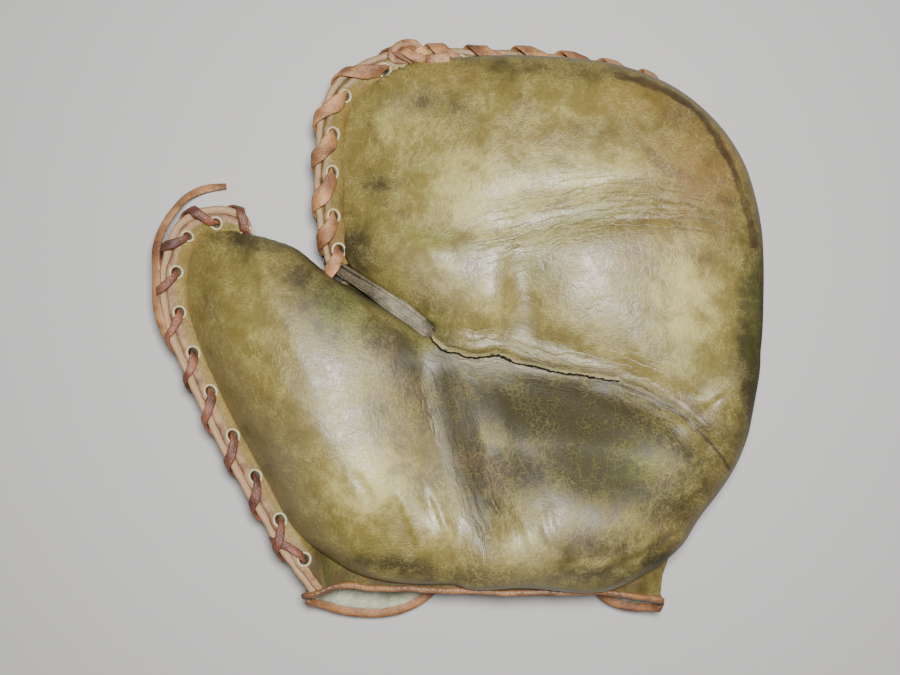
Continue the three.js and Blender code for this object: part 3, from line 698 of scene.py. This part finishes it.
# Laced flanges: the palm's and the back's leather lie flat on each other past the padding. Both have raw
# light brown cut edges and a row of punched holes, and the palm's holes have rolled rims.
HOLE_INSET, HOLE_RADIUS = 0.0055, 0.0025
LAST_HOLE, GUESSED_HOLES = 0.955, 8
EDGE_SWAY, SCALLOP_WIDE = 0.0004, 0.0045
NARROWED_BY, NARROWED_OVER, PUNCH_REACH = 0.009, 0.016, 0.006
HOLE_RIM_LIFT, HOLE_RIM_RADIUS = 0.0028, 0.0006
OLIVE_DARK, OLIVE_MID = (0.045, 0.036, 0.012), (0.13, 0.1, 0.028)
HOLES_SEEN = {
    # u, v
    "thumb": [(310, 554), (281, 519), (254, 477), (229, 438), (208, 393), (189, 355), (175, 314), (172, 272),
              (185, 234), (217, 221), (252, 230)],
    "finger": [(334, 252), (330, 217), (330, 173), (331, 135), (344, 96), (383, 67), (423, 58), (460, 58),
               (506, 56), (551, 58), (594, 62), (632, 74), (667, 90), (700, 116), (726, 150), (742, 192),
               (750, 234)],
}
PALM_SECTION = [
    # out, over, cut edge
    (-0.0125, 0.0004, 0), (-0.007, 0.0004, 0), (-0.0034, 0.0004, 0), (-0.0025, 0.0006, 1),
    (-0.0023, 0.0014, 1), (-0.0029, 0.0023, 1), (-0.0042, 0.0027, 1), (-0.0055, 0.0027, 0),
    (-0.008, 0.0027, 0), (-0.0125, 0.0027, 0),
]
BACK_SECTION = [
    # out, over, cut edge
    (-0.014, -0.0024, 0), (-0.007, -0.0024, 0), (-0.001, -0.0024, 0), (0.0002, -0.002, 1),
    (0.0005, -0.0011, 1), (-0.0001, -0.0002, 1), (-0.0012, 0.0002, 1), (-0.0022, -0.0001, 0.6),
    (-0.007, -0.0002, 0), (-0.014, -0.0002, 0),
]


def shares_seen(rim, seen):
    """The shares of a rim where its holes are seen nearest to places in the photograph."""
    share = np.linspace(0, 1, 2000)
    line = seen_at(rim.beside(share, -HOLE_INSET, 0.0))
    return [float(share[np.argmin(((line - spot) ** 2).sum(axis=1))]) for spot in seen]


THUMB_HOLES = shares_seen(thumb_rim, HOLES_SEEN["thumb"])
FINGER_HOLES = shares_seen(finger_rim, HOLES_SEEN["finger"])
FINGER_HOLES += list(np.linspace(FINGER_HOLES[-1], LAST_HOLE, GUESSED_HOLES + 1)[1:])


def sheet_of(points, closed=False, ends=False):
    """A mesh through rows of places. closed joins each row's ends, and ends caps the first and last row."""
    rows = len(points)
    if closed:
        points = np.concatenate([points, points[:, :1]], axis=1)
    form = bmesh.new()
    across = points.shape[1] - 1
    bmesh.ops.create_grid(form, x_segments=across, y_segments=rows - 1, size=1)
    for corner in form.verts:
        column = round((corner.co.x + 1) / 2 * across)
        row = round((corner.co.y + 1) / 2 * (rows - 1))
        corner.co = points[row, column]
    if closed:
        bmesh.ops.remove_doubles(form, verts=form.verts, dist=1e-6)
    if ends:
        bmesh.ops.holes_fill(form, edges=[edge for edge in form.edges if edge.is_boundary], sides=0)
    bmesh.ops.recalc_face_normals(form, faces=form.faces)
    mesh = bpy.data.meshes.new("sheet")
    form.to_mesh(mesh)
    form.free()
    return mesh


def tube(path, radius, sides=10, closed=False):
    """A round rod along a path."""
    along = np.gradient(path, axis=0)
    if closed:
        along = np.roll(path, -1, axis=0) - np.roll(path, 1, axis=0)
    along = unit(along)
    side = unit(np.cross(along, (0.3, 0.2, 1)))
    third = np.cross(along, side)
    turn = np.linspace(0, 2 * np.pi, sides, endpoint=False)
    ring = np.cos(turn)[None, :, None] * side[:, None] + np.sin(turn)[None, :, None] * third[:, None]
    radius = np.broadcast_to(radius, len(path))
    points = path[:, None] + ring * radius[:, None, None]
    if closed:
        points = np.concatenate([points, points[:1]])
    return sheet_of(points, closed=True, ends=not closed)


def cut_by(mesh, cutter):
    """A mesh less another closed mesh."""
    tool = bpy.data.objects.new("tool", cutter)
    bpy.context.collection.objects.link(tool)
    result = modified(mesh, "BOOLEAN", object=tool, operation="DIFFERENCE", solver="EXACT")
    bpy.data.objects.remove(tool)
    return result


def wobble(share, length, seed):
    """A small uneven sway along a rim, for edges that were cut and laced by hand."""
    waves = ((97, 0.6, 1), (260, 0.5, 1), (610, 0.3, 2.3))
    return sum(size * np.sin(share * length * often + shift * seed) for often, size, shift in waves)


def flange(rim, section, holes, seed, start=0.0, scallop=0.0, raw=1.0, narrowed=True):
    """One leather's strip along a rim, with its lace holes punched through."""
    share = np.linspace(start, 1, len(rim.point))
    out, over, cut = np.array(section).T
    sway = EDGE_SWAY * wobble(share, rim.length, seed)
    for hole in holes:
        sway += scallop * np.exp(-((share - hole) * rim.length / SCALLOP_WIDE) ** 2)
    if narrowed:
        sway -= NARROWED_BY * np.clip(1 - (1 - share) * rim.length / NARROWED_OVER, 0, 1) ** 2
    outs = out + np.outer(sway, out > -0.004)
    overs = over + EDGE_SWAY / 2 * wobble(share, rim.length, seed + 1)[:, None]
    points = rim.beside(share[:, None], outs, overs)
    mesh = sheet_of(points, closed=True, ends=True)
    ring = np.linspace(0, 2 * np.pi, 20, endpoint=False)
    punches = []
    for hole in holes:
        around = hole + HOLE_RADIUS * np.cos(ring) / rim.length
        outward = -HOLE_INSET + HOLE_RADIUS * np.sin(ring)
        levels = [rim.beside(around, outward, level) for level in (-PUNCH_REACH, PUNCH_REACH)]
        punches.append(sheet_of(np.array(levels), closed=True, ends=True))
    mesh = cut_by(mesh, merged(punches))
    bare = np.outer(np.where(narrowed | (share < 0.9), raw, 0), cut).ravel()
    near = points.reshape(-1, 3)
    nearest = np.array([np.argmin(((near - corner) ** 2).sum(axis=1)) for corner in read_points(mesh)])
    write_value(mesh, "wear", bare[nearest])
    place = share[nearest // len(cut)]
    corner_shade = (0 if narrowed else 0.55) * np.exp(-((place - 1) / 0.07) ** 2)
    write_value(mesh, "dark", 0.9 * np.exp(-(place / 0.05) ** 2) + corner_shade)
    write_value(mesh, "brown", 0.7 - corner_shade)
    write_value(mesh, "worn_and_highlit", 0.05)
    off_the_folds(mesh)
    return mesh


def hole_rims(rim, holes):
    """The rolled rims of the lace holes, no two quite alike."""
    ring = np.linspace(0, 2 * np.pi, 24, endpoint=False)
    rims = []
    for number, hole in enumerate(holes):
        size = (HOLE_RADIUS + 0.0003) * (1 + 0.06 * math.sin(3.1 * number))
        around = hole + size * 1.08 * np.cos(ring) / rim.length
        path = rim.beside(around, -HOLE_INSET + size * np.sin(ring), HOLE_RIM_LIFT)
        rims.append(tube(path, HOLE_RIM_RADIUS, 8, closed=True))
    return merged(rims)


def leather(name, dark, light, wear, roughness=0.5, grain=0.5):
    """Plain leather: blotches between dark and light, wear along its edges, and a fine grain."""
    paint = Paint(name)
    blotch = paint.range(paint.noise(70, 4, 0.6), 0.35, 0.68)
    colour = paint.blend(blotch, dark, light)
    speck = paint.range(paint.noise(420, 3, 0.7), 0.52, 0.72)
    colour = paint.blend(paint.times(speck, 0.45), colour, tuple(0.45 * np.array(dark)))
    edge = paint.sum(paint.value("wear"), paint.times(paint.noise(260, 3), 0.5))
    colour = paint.blend(paint.range(edge, 0.55, 0.95), colour, wear)
    pores = paint.veins(900, 0.3, paint.wander(paint.place, 300, 0.002))
    normal = paint.bump(pores, grain, 0.00025)
    normal = paint.bump(paint.noise(1400, 3, 0.6), grain, 0.0003, normal)
    rough = paint.range(blotch, 0, 1, roughness + 0.1, roughness)
    paint.set(Base_Color=colour, Roughness=rough, Normal=normal)
    return paint.material


olive_flange = leather("olive leather, plain", OLIVE_DARK, OLIVE_MID, CUT_EDGE, 0.5)
rolled = leather("rolled leather", (0.1, 0.08, 0.04), (0.22, 0.17, 0.09), (0.36, 0.3, 0.17), 0.4, 0.3)
palm_flanges = merged([
    flange(thumb_rim, PALM_SECTION, THUMB_HOLES, 1.0, -0.03, scallop=0.0006),
    flange(finger_rim, PALM_SECTION, FINGER_HOLES, 4.0, scallop=0.0006, raw=0.5, narrowed=False),
])
add_piece("palm_flange", palm_flanges, palm_leather, "palm_leather")
back_flanges = merged([
    flange(thumb_rim, BACK_SECTION, THUMB_HOLES, 2.0, -0.03),
    flange(finger_rim, BACK_SECTION, FINGER_HOLES, 5.0, raw=0.6, narrowed=False),
])
add_piece("back_flange", back_flanges, olive_flange, "back_leather")
rim_mesh = merged([hole_rims(thumb_rim, THUMB_HOLES), hole_rims(finger_rim, FINGER_HOLES)])
add_piece("hole_rims", rim_mesh, rolled, "palm_leather", wear=1)

# Laces: flat leather thongs, whip-stitched up through a hole, over the edge on the slant, and back under to
# the next hole. The thumb's is red-brown, the fingers' orange-tan.
LACE_RED_DARK, LACE_RED, LACE_RED_WORN = (0.06, 0.018, 0.01), (0.22, 0.078, 0.04), (0.42, 0.21, 0.12)
LACE_TAN_DARK, LACE_TAN, LACE_TAN_WORN = (0.13, 0.05, 0.018), (0.37, 0.18, 0.07), (0.55, 0.36, 0.18)
THUMB_LACE_WIDTH, THUMB_LACE_THICK = 0.0038, 0.0014
FINGER_LACE_WIDTH, FINGER_LACE_THICK = 0.0062, 0.0015
LACE_SLACK, LACE_CENTRE = 0.0005, -0.0035
EDGE_SHARE = 0.68
STITCH = [
    # share of the pitch, out, over
    (0.0, -0.0057, 0.0), (0.02, -0.0056, 0.003), (0.16, -0.0044, 0.0042), (0.4, -0.0018, 0.004),
    (0.58, 0.0006, 0.0032), (0.68, 0.0017, 0.0006), (0.76, 0.001, -0.0026), (0.86, -0.0014, -0.0042),
    (0.95, -0.0048, -0.0042), (0.99, -0.0056, -0.0026),
]


def thong(path, facing, width, thick, sides=12):
    """A flat strip with round edges along a path, its flat side facing one direction or one at each stop."""
    along = unit(np.gradient(path, axis=0))
    broad = unit(np.cross(facing, along))
    flat = np.cross(along, broad)
    turn = np.linspace(0, 2 * np.pi, sides, endpoint=False)
    x = np.sign(np.cos(turn)) * np.abs(np.cos(turn)) ** 0.6
    y = np.sign(np.sin(turn)) * np.abs(np.sin(turn)) ** 0.8
    width, thick = np.broadcast_to(width, len(path)), np.broadcast_to(thick, len(path))
    points = path[:, None] + (broad * width[:, None] / 2)[:, None] * x[None, :, None]
    points = points + (flat * thick[:, None] / 2)[:, None] * y[None, :, None]
    return sheet_of(points, closed=True, ends=True)


def whip_stitch(rim, holes, width, thick, seed, slant, last):
    """The lace of one rim, from its last hole to its first. slant is the share of a stitch lying on top."""
    run = holes[::-1]
    stops = []
    for number, hole in enumerate(run[:-1]):
        pitch = run[number + 1] - hole
        slack = LACE_SLACK * math.sin(2.1 * number + seed)
        for share, out, over in STITCH:
            lift = slack if 0.3 < share < 0.7 else 0
            share = np.interp(share, (0, EDGE_SHARE, 1), (0, slant, 1))
            stops.append((hole + share * pitch, out + lift, over, number + share))
    for far, out, over in last:
        stops.append((run[-1] + far * pitch, out, over, len(run) - 1 + abs(far)))
    stops = np.array(stops)
    path = rim.beside(*stops.T[:3])
    aim = path - rim.beside(stops[:, 0], LACE_CENTRE, 0.0)
    fine = smooth_line(np.hstack([path, aim, stops[:, 3:]]), 22 * len(run))
    uneven = 1 + 0.12 * np.sin(fine[:, 6] * 5.3 + seed) + 0.08 * np.sin(fine[:, 6] * 13.7)
    return thong(fine[:, :3], fine[:, 3:6], width * uneven, thick)


red_lace = leather("red-brown lace", LACE_RED_DARK, LACE_RED, LACE_RED_WORN, 0.45)
tan_lace = leather("orange-tan lace", LACE_TAN_DARK, LACE_TAN, LACE_TAN_WORN, 0.5)
LAST_THUMB_STITCH = [
    # share of the pitch past the last hole, out, over
    (-0.02, -0.0056, 0.0026), (-0.2, -0.0044, 0.0042), (-0.45, -0.002, 0.004), (-0.62, 0.0006, 0.0028),
    (-0.7, 0.0012, 0.0), (-0.7, 0.0002, -0.0026),
]
LAST_FINGER_STITCH = [
    # share of the pitch past the last hole, out, over
    (0.0, -0.0057, 0.0), (0.02, -0.0056, 0.003), (0.16, -0.0044, 0.0042), (0.4, -0.0018, 0.004),
    (0.58, 0.0004, 0.0028), (0.7, 0.0008, 0.0), (0.74, -0.0002, -0.0028),
]
thumb_thong = whip_stitch(thumb_rim, THUMB_HOLES, THUMB_LACE_WIDTH, THUMB_LACE_THICK, 0.5, 0.46,
                          LAST_THUMB_STITCH)
finger_thong = whip_stitch(finger_rim, FINGER_HOLES, FINGER_LACE_WIDTH, FINGER_LACE_THICK, 1.7, 0.66,
                           LAST_FINGER_STITCH)
add_piece("thumb_thong", thumb_thong, red_lace, "thumb_lace_leather", "thumb_lace", wear=0.2)
add_piece("finger_thong", finger_thong, tan_lace, "finger_lace_leather", "finger_lace", wear=0.2)

# Free end: what is left over of the thumb's lace, a flat rawhide thong stiff enough to keep its curve. It
# comes out of the stitching, goes round the thumb's tip and down, and its end rests on the table.
FREE_END_WIDTH, FREE_END_THICK = 0.004, 0.0016
LACE_END = [
    # x, y, z
    (-0.474, 0.105, 0.475), (-0.476, 0.15, 0.445), (-0.47, 0.188, 0.36), (-0.459, 0.22, 0.25),
    (-0.443, 0.248, 0.13), (-0.417, 0.264, 0.055), (-0.384, 0.2695, 0.018),
]
END_START = [
    # share of the rim, out, over
    (0.56, 0.0, -0.0032), (0.6, 0.0012, -0.0026), (0.64, 0.0022, -0.0008),
]
start = thumb_rim.beside(*np.array(END_START).T)
end_line = smooth_line(np.vstack([start, places(LACE_END)]), 70)
taper = np.interp(np.linspace(0, 1, len(end_line)), (0, 0.9, 1), (1, 1, 0.75))
end_mesh = thong(end_line, (-0.35, 0.2, 1.0), FREE_END_WIDTH * taper, FREE_END_THICK)
lace_end = add_piece("free_end", end_mesh, tan_lace, "finger_lace_leather", "lace_end", wear=0.25)
end_length = length_of(end_line)

# Back: one soft olive leather bowl under the laced rims, for the hand and the thumb, open over the wrist
# and cut away there in an arch between its two flaps.
BACK_TOP, BACK_FLOOR, BACK_REST = 0.021, -0.002, 0.0002
WALL_INSET, WALL_DROP, WALL_THICK = 0.0012, 0.001, 0.0022
RIM_REACH, HIGHEST_INSIDE = 0.018, 0.018
BOWL_FULL, BOWL_VOXEL = 0.9, 0.0024
HOLLOWS = {"thumb": (-0.27, -0.1), "hand": (0.12, -0.02)}
BACK_END = [
    # x, y, z
    (0.352, -0.455, 0.44), (0.345, -0.5, 0.42), (0.24, -0.54, 0.32), (0.11, -0.54, 0.29),
    (-0.1, -0.55, 0.29), (-0.2, -0.54, 0.32), (-0.245, -0.475, 0.42),
]
HAND_SIDE = [
    # x, y, z
    (-0.225, -0.41, 0.4), (-0.2, -0.3, 0.42), (-0.2, -0.15, 0.42), (-0.2, 0, 0.42), (-0.19, 0.07, 0.42),
]
WRIST_EDGE = [
    # x, y, z left at 0: the edge is found on the bowl
    (0.38, -0.44, 0), (0.34, -0.457, 0), (0.303, -0.462, 0), (0.262, -0.448, 0), (0.235, -0.4, 0),
    (0.19, -0.3, 0), (0.11, -0.25, 0), (0.03, -0.3, 0), (-0.01, -0.4, 0), (-0.037, -0.445, 0),
    (-0.093, -0.474, 0), (-0.165, -0.474, 0), (-0.22, -0.452, 0), (-0.28, -0.415, 0),
]


def bowl_lobe(rim, count, end, side, hollow):
    """Half of the bowl as a closed form between a rim and its side, flat where it rests."""
    under_rim = rim.beside(np.linspace(0, end, count), -FLANGE_WIDTH - WALL_INSET, 0) - (0, 0, WALL_DROP)
    outline = np.vstack([under_rim, places(side)])
    outline = np.hstack([outline, np.full((len(outline), 1), BOWL_FULL)])
    mesh = pillow(outline, (*hollow, BACK_TOP / DEPTH), BACK_FLOOR, 120, 48)
    points = read_points(mesh)
    points[:, 2] = np.maximum(points[:, 2], BACK_REST)
    write_points(mesh, points)
    return mesh


def keep_faces(mesh, wanted):
    """Only the faces whose middle and normal pass a test."""
    form = bmesh.new()
    form.from_mesh(mesh)
    lost = [face for face in form.faces if not wanted(face.calc_center_median(), face.normal)]
    bmesh.ops.delete(form, geom=lost, context="FACES")
    form.to_mesh(mesh)
    form.free()
    return mesh


def past_wrist(distance):
    """All that lies past the wrist edge moved out by a distance, as a closed form."""
    edge = smooth_line(places(WRIST_EDGE), 60)
    along = unit(np.gradient(edge, axis=0))
    edge = edge + distance * np.stack([-along[:, 1], along[:, 0], 0 * along[:, 2]], axis=1)
    far = np.stack([edge[:, 0], np.full(len(edge), -LENGTH), 0 * edge[:, 2]], axis=1)
    around = np.vstack([edge, far[::-1]])
    return sheet_of(np.array([around - (0, 0, DEPTH), around + (0, 0, DEPTH)]), closed=True, ends=True)


def open_wall(skin, inward, short=0.0):
    """A skin grown inwards into a wall, and cut away from a little short of the wrist edge on."""
    wall = modified(skin, "SOLIDIFY", thickness=inward, offset=-1)
    return cut_by(wall, past_wrist(-short))


lobes = [
    bowl_lobe(thumb_rim, 12, 1, THUMB_SIDE[:9], HOLLOWS["thumb"]),
    bowl_lobe(finger_rim, 24, 0.95, BACK_END + HAND_SIDE, HOLLOWS["hand"]),
]
bowl = grown_together(lobes, BOWL_VOXEL)
relax(bowl, 3)
rim_points = np.vstack([thumb_rim.point[::4], finger_rim.point[::4]])


def of_the_wall(middle, normal):
    """True on the bowl's outside: not on its top, nor on the step that the two lobes leave between them."""
    away = np.hypot(*(rim_points[:, :2] - tuple(middle)[:2]).T).min()
    if away < RIM_REACH:
        return normal.z < 0.6
    return normal.z < -0.05 and middle.z < HIGHEST_INSIDE


bowl = keep_faces(bowl, of_the_wall)
relax(bowl, 2)
bowl.update()
wall_mesh = open_wall(bowl.copy(), WALL_THICK)
back_olive = leather("olive leather, back", OLIVE_DARK, OLIVE_MID, (0.3, 0.25, 0.11), 0.55)
back = add_piece("back", wall_mesh, back_olive, "back_leather", "back_panel")

# Lining: thin grey-green leather laid inside the back, seen in the mouth at the wrist. It follows the back's
# wall a little inside it, and ends just short of the wrist's edge.
LINING_INSET, LINING_THICK, LINING_SHORT = 0.0026, 0.0009, 0.0008
LINING_Y, LINING_Z = -0.048, 0.021
lining_form = bowl.copy()
write_points(lining_form, read_points(lining_form) - LINING_INSET * read_normals(lining_form))
lining_form = keep_faces(lining_form, lambda middle, _: middle.y < LINING_Y and middle.z < LINING_Z)
lining_mesh = open_wall(lining_form, LINING_THICK, LINING_SHORT)
lining_paint = leather("grey-green lining", (0.17, 0.17, 0.11), (0.38, 0.38, 0.27), (0.45, 0.45, 0.33), 0.7)
add_piece("lining", lining_mesh, lining_paint, "lining_leather", "back_lining")

# Bindings: narrow strips of orange-brown leather folded over the two free edges at the wrist; the palm's is
# sewn with a running stitch.
# The palm's free edge, a flat olive hem, runs from under the heel's pad to the upper binding.
HEEL_EDGE = [
    # x, y, z
    (-0.235, -0.437, 0.44), (-0.208, -0.424, 0.52), (-0.175, -0.412, 0.55), (-0.11, -0.415, 0.58),
    (0.05, -0.419, 0.61), (0.15, -0.42, 0.61), (0.25, -0.423, 0.58), (0.31, -0.433, 0.53),
    (0.338, -0.441, 0.48),
]
HEEL_STRIP_WIDTH, HEEL_STRIP_THICK = 0.0046, 0.0026
BACK_STRIP_WIDTH, BACK_STRIP_THICK = 0.0066, 0.0036
STRIP_BACK, STRIP_SUNK, STRIP_LOWEST = 0.0004, 0.0011, 0.0024
STITCH_STEP, THREAD_RADIUS = 0.0029, 0.00034
BINDING_DARK, BINDING_TAN, BINDING_WORN = (0.11, 0.045, 0.018), (0.31, 0.135, 0.045), (0.5, 0.33, 0.18)


def seam(path, lift):
    """A running stitch along a path: short threads lying on the leather."""
    count = int(length_of(path) / STITCH_STEP)
    line = smooth_line(path, 8 * count)
    threads = []
    for start in range(4, 8 * count - 8, 8):
        piece = line[start:start + 5] + lift
        piece[[0, -1]] -= 0.8 * np.array(lift)
        threads.append(tube(piece, THREAD_RADIUS, 6))
    return merged(threads)


heel_line = smooth_line(places(HEEL_EDGE), 90)
share = np.linspace(0, 1, len(heel_line))
heel_line[:, 1] += EDGE_SWAY * wobble(share, 0.14, 3)
wider_at_right = 1 + 0.5 * np.exp(-((share - 1) / 0.1) ** 2)
heel_mesh = thong(heel_line, (0.0, -1.0, 0.25), HEEL_STRIP_WIDTH * wider_at_right, HEEL_STRIP_THICK)
binding_tan = leather("orange-brown binding", BINDING_DARK, BINDING_TAN, BINDING_WORN, 0.5)
add_piece("heel_strip", heel_mesh, binding_tan, "binding_leather", "heel_binding", wear=0.3)
thread = leather("thread", (0.12, 0.08, 0.05), (0.22, 0.15, 0.09), (0.3, 0.21, 0.13), 0.7)
stitches = seam(heel_line + (0, 0.0006, 0.0021), (0, 0.0001, 0.0004))
add_piece("heel_stitches", stitches, thread, "binding_leather", wear=1)

HEM_ROWS, HEM_DROP, HEM_ABOVE, HEM_BELOW = 16, 0.004, 0.0008, 0.0012
hem_far = np.interp(share, (0, 0.15, 0.3, 0.8, 1), (0.026, 0.024, 0.014, 0.014, 0.028))
hem_rows = []
gathered = np.exp(-((share - 0.91) / 0.09) ** 2) * np.clip((1 - share) / 0.06, 0, 1)
for inward in np.linspace(0, 1, HEM_ROWS):
    row = heel_line + (HEM_DROP * inward, 0.0005, -HEM_DROP * inward)
    row[:, 1] += hem_far * inward
    row[:, 2] += gathered * math.sin(math.pi * inward) * (0.003 + 0.0009 * np.sin(130 * share + 3 * inward))
    hem_rows.append(row)
hem_top = np.array(hem_rows)
hem_mesh = sheet_of(np.concatenate([hem_top + (0, 0, HEM_ABOVE), hem_top[::-1] - (0, 0, HEM_BELOW)]))
off_the_folds(hem_mesh)
hem_along = read_points(hem_mesh)[:, 0]
at_left = np.exp(-((hem_along - heel_line[0, 0]) / 0.025) ** 2)
at_right = np.exp(-((hem_along - heel_line[-1, 0]) / 0.03) ** 2)
write_value(hem_mesh, "dark", 0.75 + 0.35 * at_left - 0.25 * at_right)
write_value(hem_mesh, "brown", 0.3 - 0.2 * at_left - 0.15 * at_right)
write_value(hem_mesh, "green", 0.4 * at_left + 0.2 * at_right)
write_value(hem_mesh, "worn_and_highlit", 0.4 * at_right)
add_piece("palm_hem", hem_mesh, palm_leather, "palm_leather")


def wall_of(mesh):
    """A mesh's faces, for rays to be cast on."""
    corners = [tuple(corner.co) for corner in mesh.vertices]
    return BVHTree.FromPolygons(corners, [tuple(face.vertices) for face in mesh.polygons])


back_wall = wall_of(bowl)


def on_back(x, y):
    """The place and normal of the bowl's outside over or under a point."""
    hit, normal, _, _ = back_wall.ray_cast(Vector((x, y, -0.05)), Vector((0, 0, 1)))
    if hit is None:
        hit, normal, _, _ = back_wall.find_nearest(Vector((x, y, 0.02)))
    return np.array(hit), -np.array(normal) if normal.z > 0 else np.array(normal)


edge_line = smooth_line(places(WRIST_EDGE), 150)[4:-4]
found = [on_back(x, y - STRIP_BACK) for x, y, _ in edge_line]
rest_line = np.array([place for place, _ in found])
facing = np.array([normal for _, normal in found])
rest_line = smooth_line(rest_line - STRIP_SUNK * facing, 150)
facing = np.array([on_back(x, y)[1] for x, y, _ in rest_line])
rest_line[:, 2] = np.maximum(rest_line[:, 2], STRIP_LOWEST)
back_strip = thong(rest_line, facing, BACK_STRIP_WIDTH, BACK_STRIP_THICK)
add_piece("back_strip", back_strip, binding_tan, "binding_leather", "back_binding", wear=0.3)

# Strap: a plain band of the back's olive leather across the arch at the wrist, from flap to flap. It lies
# against the outside of the bowl, underneath, where it isn't seen from above.
STRAP_LENGTH, STRAP_WIDTH, STRAP_THICK, STRAP_HIGHEST = 0.104, 0.02, 0.002, 0.016
STRAP_MIDDLE = places([(0.1, -0.41, 0)])[0]
strap_x = STRAP_MIDDLE[0] + np.linspace(-STRAP_LENGTH / 2, STRAP_LENGTH / 2, 60)
strap_y = STRAP_MIDDLE[1] + np.linspace(-STRAP_WIDTH / 2, STRAP_WIDTH / 2, 12)
top = np.array([[on_back(x, y)[0] for y in strap_y] for x in strap_x])
top[:, :, 0], top[:, :, 1] = strap_x[:, None], strap_y[None]
top[:, :, 2] = np.clip(top[:, :, 2] - 0.0003, STRAP_THICK + 0.0004, STRAP_HIGHEST)
under = top - (0, 0, STRAP_THICK)
strap_mesh = sheet_of(np.concatenate([top, under[:, ::-1]], axis=1), closed=True, ends=True)
add_piece("strap", strap_mesh, back_olive, "back_leather", "wrist_strap", wear=0.2)

# Gusset: a narrow grey-brown strip let into the crotch between thumb and fingers, wrinkled lengthways, with
# a rolled ridge along the fingers' side.
GUSSET_LINE = [
    # x, y, z
    (-0.203, 0.128, 0.4), (-0.178, 0.112, 0.47), (-0.135, 0.084, 0.525), (-0.082, 0.048, 0.575),
    (-0.046, 0.02, 0.605), (-0.022, -0.004, 0.615),
]
GUSSET_WIDTH, GUSSET_THICK, RIDGE_RADIUS, CREASE_RADIUS = 0.0085, 0.0024, 0.0008, 0.00035
GUSSET_DARK, GUSSET_GREY, GUSSET_WORN_SHEEN = (0.025, 0.018, 0.009), (0.08, 0.06, 0.03), (0.2, 0.17, 0.115)
gusset_line = smooth_line(places(GUSSET_LINE), 80)
share = np.linspace(0, 1, len(gusset_line))
width = GUSSET_WIDTH * np.interp(share, (0, 0.3, 0.7, 0.9, 1), (0.3, 0.5, 1.15, 0.8, 0.25))
width *= 1 + 0.05 * wobble(share, 0.06, 9)
strip = thong(gusset_line - (0, 0, 0.0008), (-0.25, -0.35, 1.0), width, GUSSET_THICK, 20)
ridge_line = gusset_line + (0.0017, 0.0022, 0.0012)
ridge_line[:, 2] += 0.0003 * wobble(share, 0.07, 2)
taper = np.interp(share, (0, 0.1, 0.8, 1), (0.5, 1, 1, 0.1))
ridge = tube(ridge_line, RIDGE_RADIUS * taper, 10)
creases = []
for number, side in enumerate((-1.5, -0.9, -0.3, 0.4, 1)):
    aside = side * taper + 0.25 * wobble(share, 0.05, number)
    crease_line = gusset_line + np.outer(aside, (0.0007, 0.0011, 0)) + (0, 0, 0.0002)
    creases.append(tube(crease_line, CREASE_RADIUS * taper, 8))
gusset_mesh = merged([strip, ridge] + creases)
# lighter in its middle: worn leather and painted sheen
along = (read_points(gusset_mesh)[:, 0] - gusset_line[0, 0]) / (gusset_line[-1, 0] - gusset_line[0, 0])
write_value(gusset_mesh, "wear", np.interp(along, (0.2, 0.6, 0.9, 1), (0, 0.6, 0.5, 0.1)))
gusset_paint = leather("grey-brown gusset", GUSSET_DARK, GUSSET_GREY, GUSSET_WORN_SHEEN, 0.6)
add_piece("gusset", gusset_mesh, gusset_paint, "gusset_leather", "crotch_gusset")

# Knot: the finger lace ends in two turns of its own orange-tan thong at the top of the mitt. Its short tail
# comes out between them and lies down on the palm.
KNOT_AT = places([(-0.062, 0.479, 0.46)])[0]
KNOT_WIDTH, KNOT_THICK, TAIL_WIDTH, TAIL_THICK, TAIL_LIFT = 0.0034, 0.0022, 0.004, 0.0018, 0.0011
KNOT_TURNS = [
    # turn in degrees, lean, size, shift from the knot's middle
    (20, 0.5, 0.0037, (-0.003, 0.0004, 0)), (-35, -0.6, 0.0034, (0.003, -0.001, 0.001)),
]
KNOT_TAIL = [
    # x, y, z from the knot's middle
    (-0.004, 0.001, 0.002), (0.002, -0.003, 0.0045), (0.009, -0.004, 0.002), (0.016, -0.0035, -0.004),
]
turn = np.linspace(0, 2 * np.pi, 28, endpoint=False)
knot_parts = []
for angle, lean, size, shift in KNOT_TURNS:
    cos, sin = math.cos(math.radians(angle)), math.sin(math.radians(angle))
    ring = size * np.stack([1.6 * np.cos(turn), 0.8 * np.sin(turn), lean * np.sin(turn)], axis=1)
    ring[:, :2] = ring[:, :2] @ np.array([[cos, sin], [-sin, cos]])
    path = KNOT_AT + shift + ring
    knot_parts.append(thong(path, (0.1, 0.2, 1.0), KNOT_WIDTH, KNOT_THICK))
tail = smooth_line(KNOT_AT + np.array(KNOT_TAIL), 30)
palm_wall = wall_of(palm_mesh)
for point in tail:
    leather_under = palm_wall.ray_cast(Vector((point[0], point[1], 2 * DEPTH)), Vector((0, 0, -1)))[0]
    if leather_under is not None:
        point[2] = max(point[2], leather_under.z + TAIL_LIFT)
knot_parts.append(thong(tail, (0.0, 0.1, 1.0), TAIL_WIDTH, TAIL_THICK))
add_piece("knot", merged(knot_parts), tan_lace, "finger_lace_leather", "lace_knot", wear=0.4)
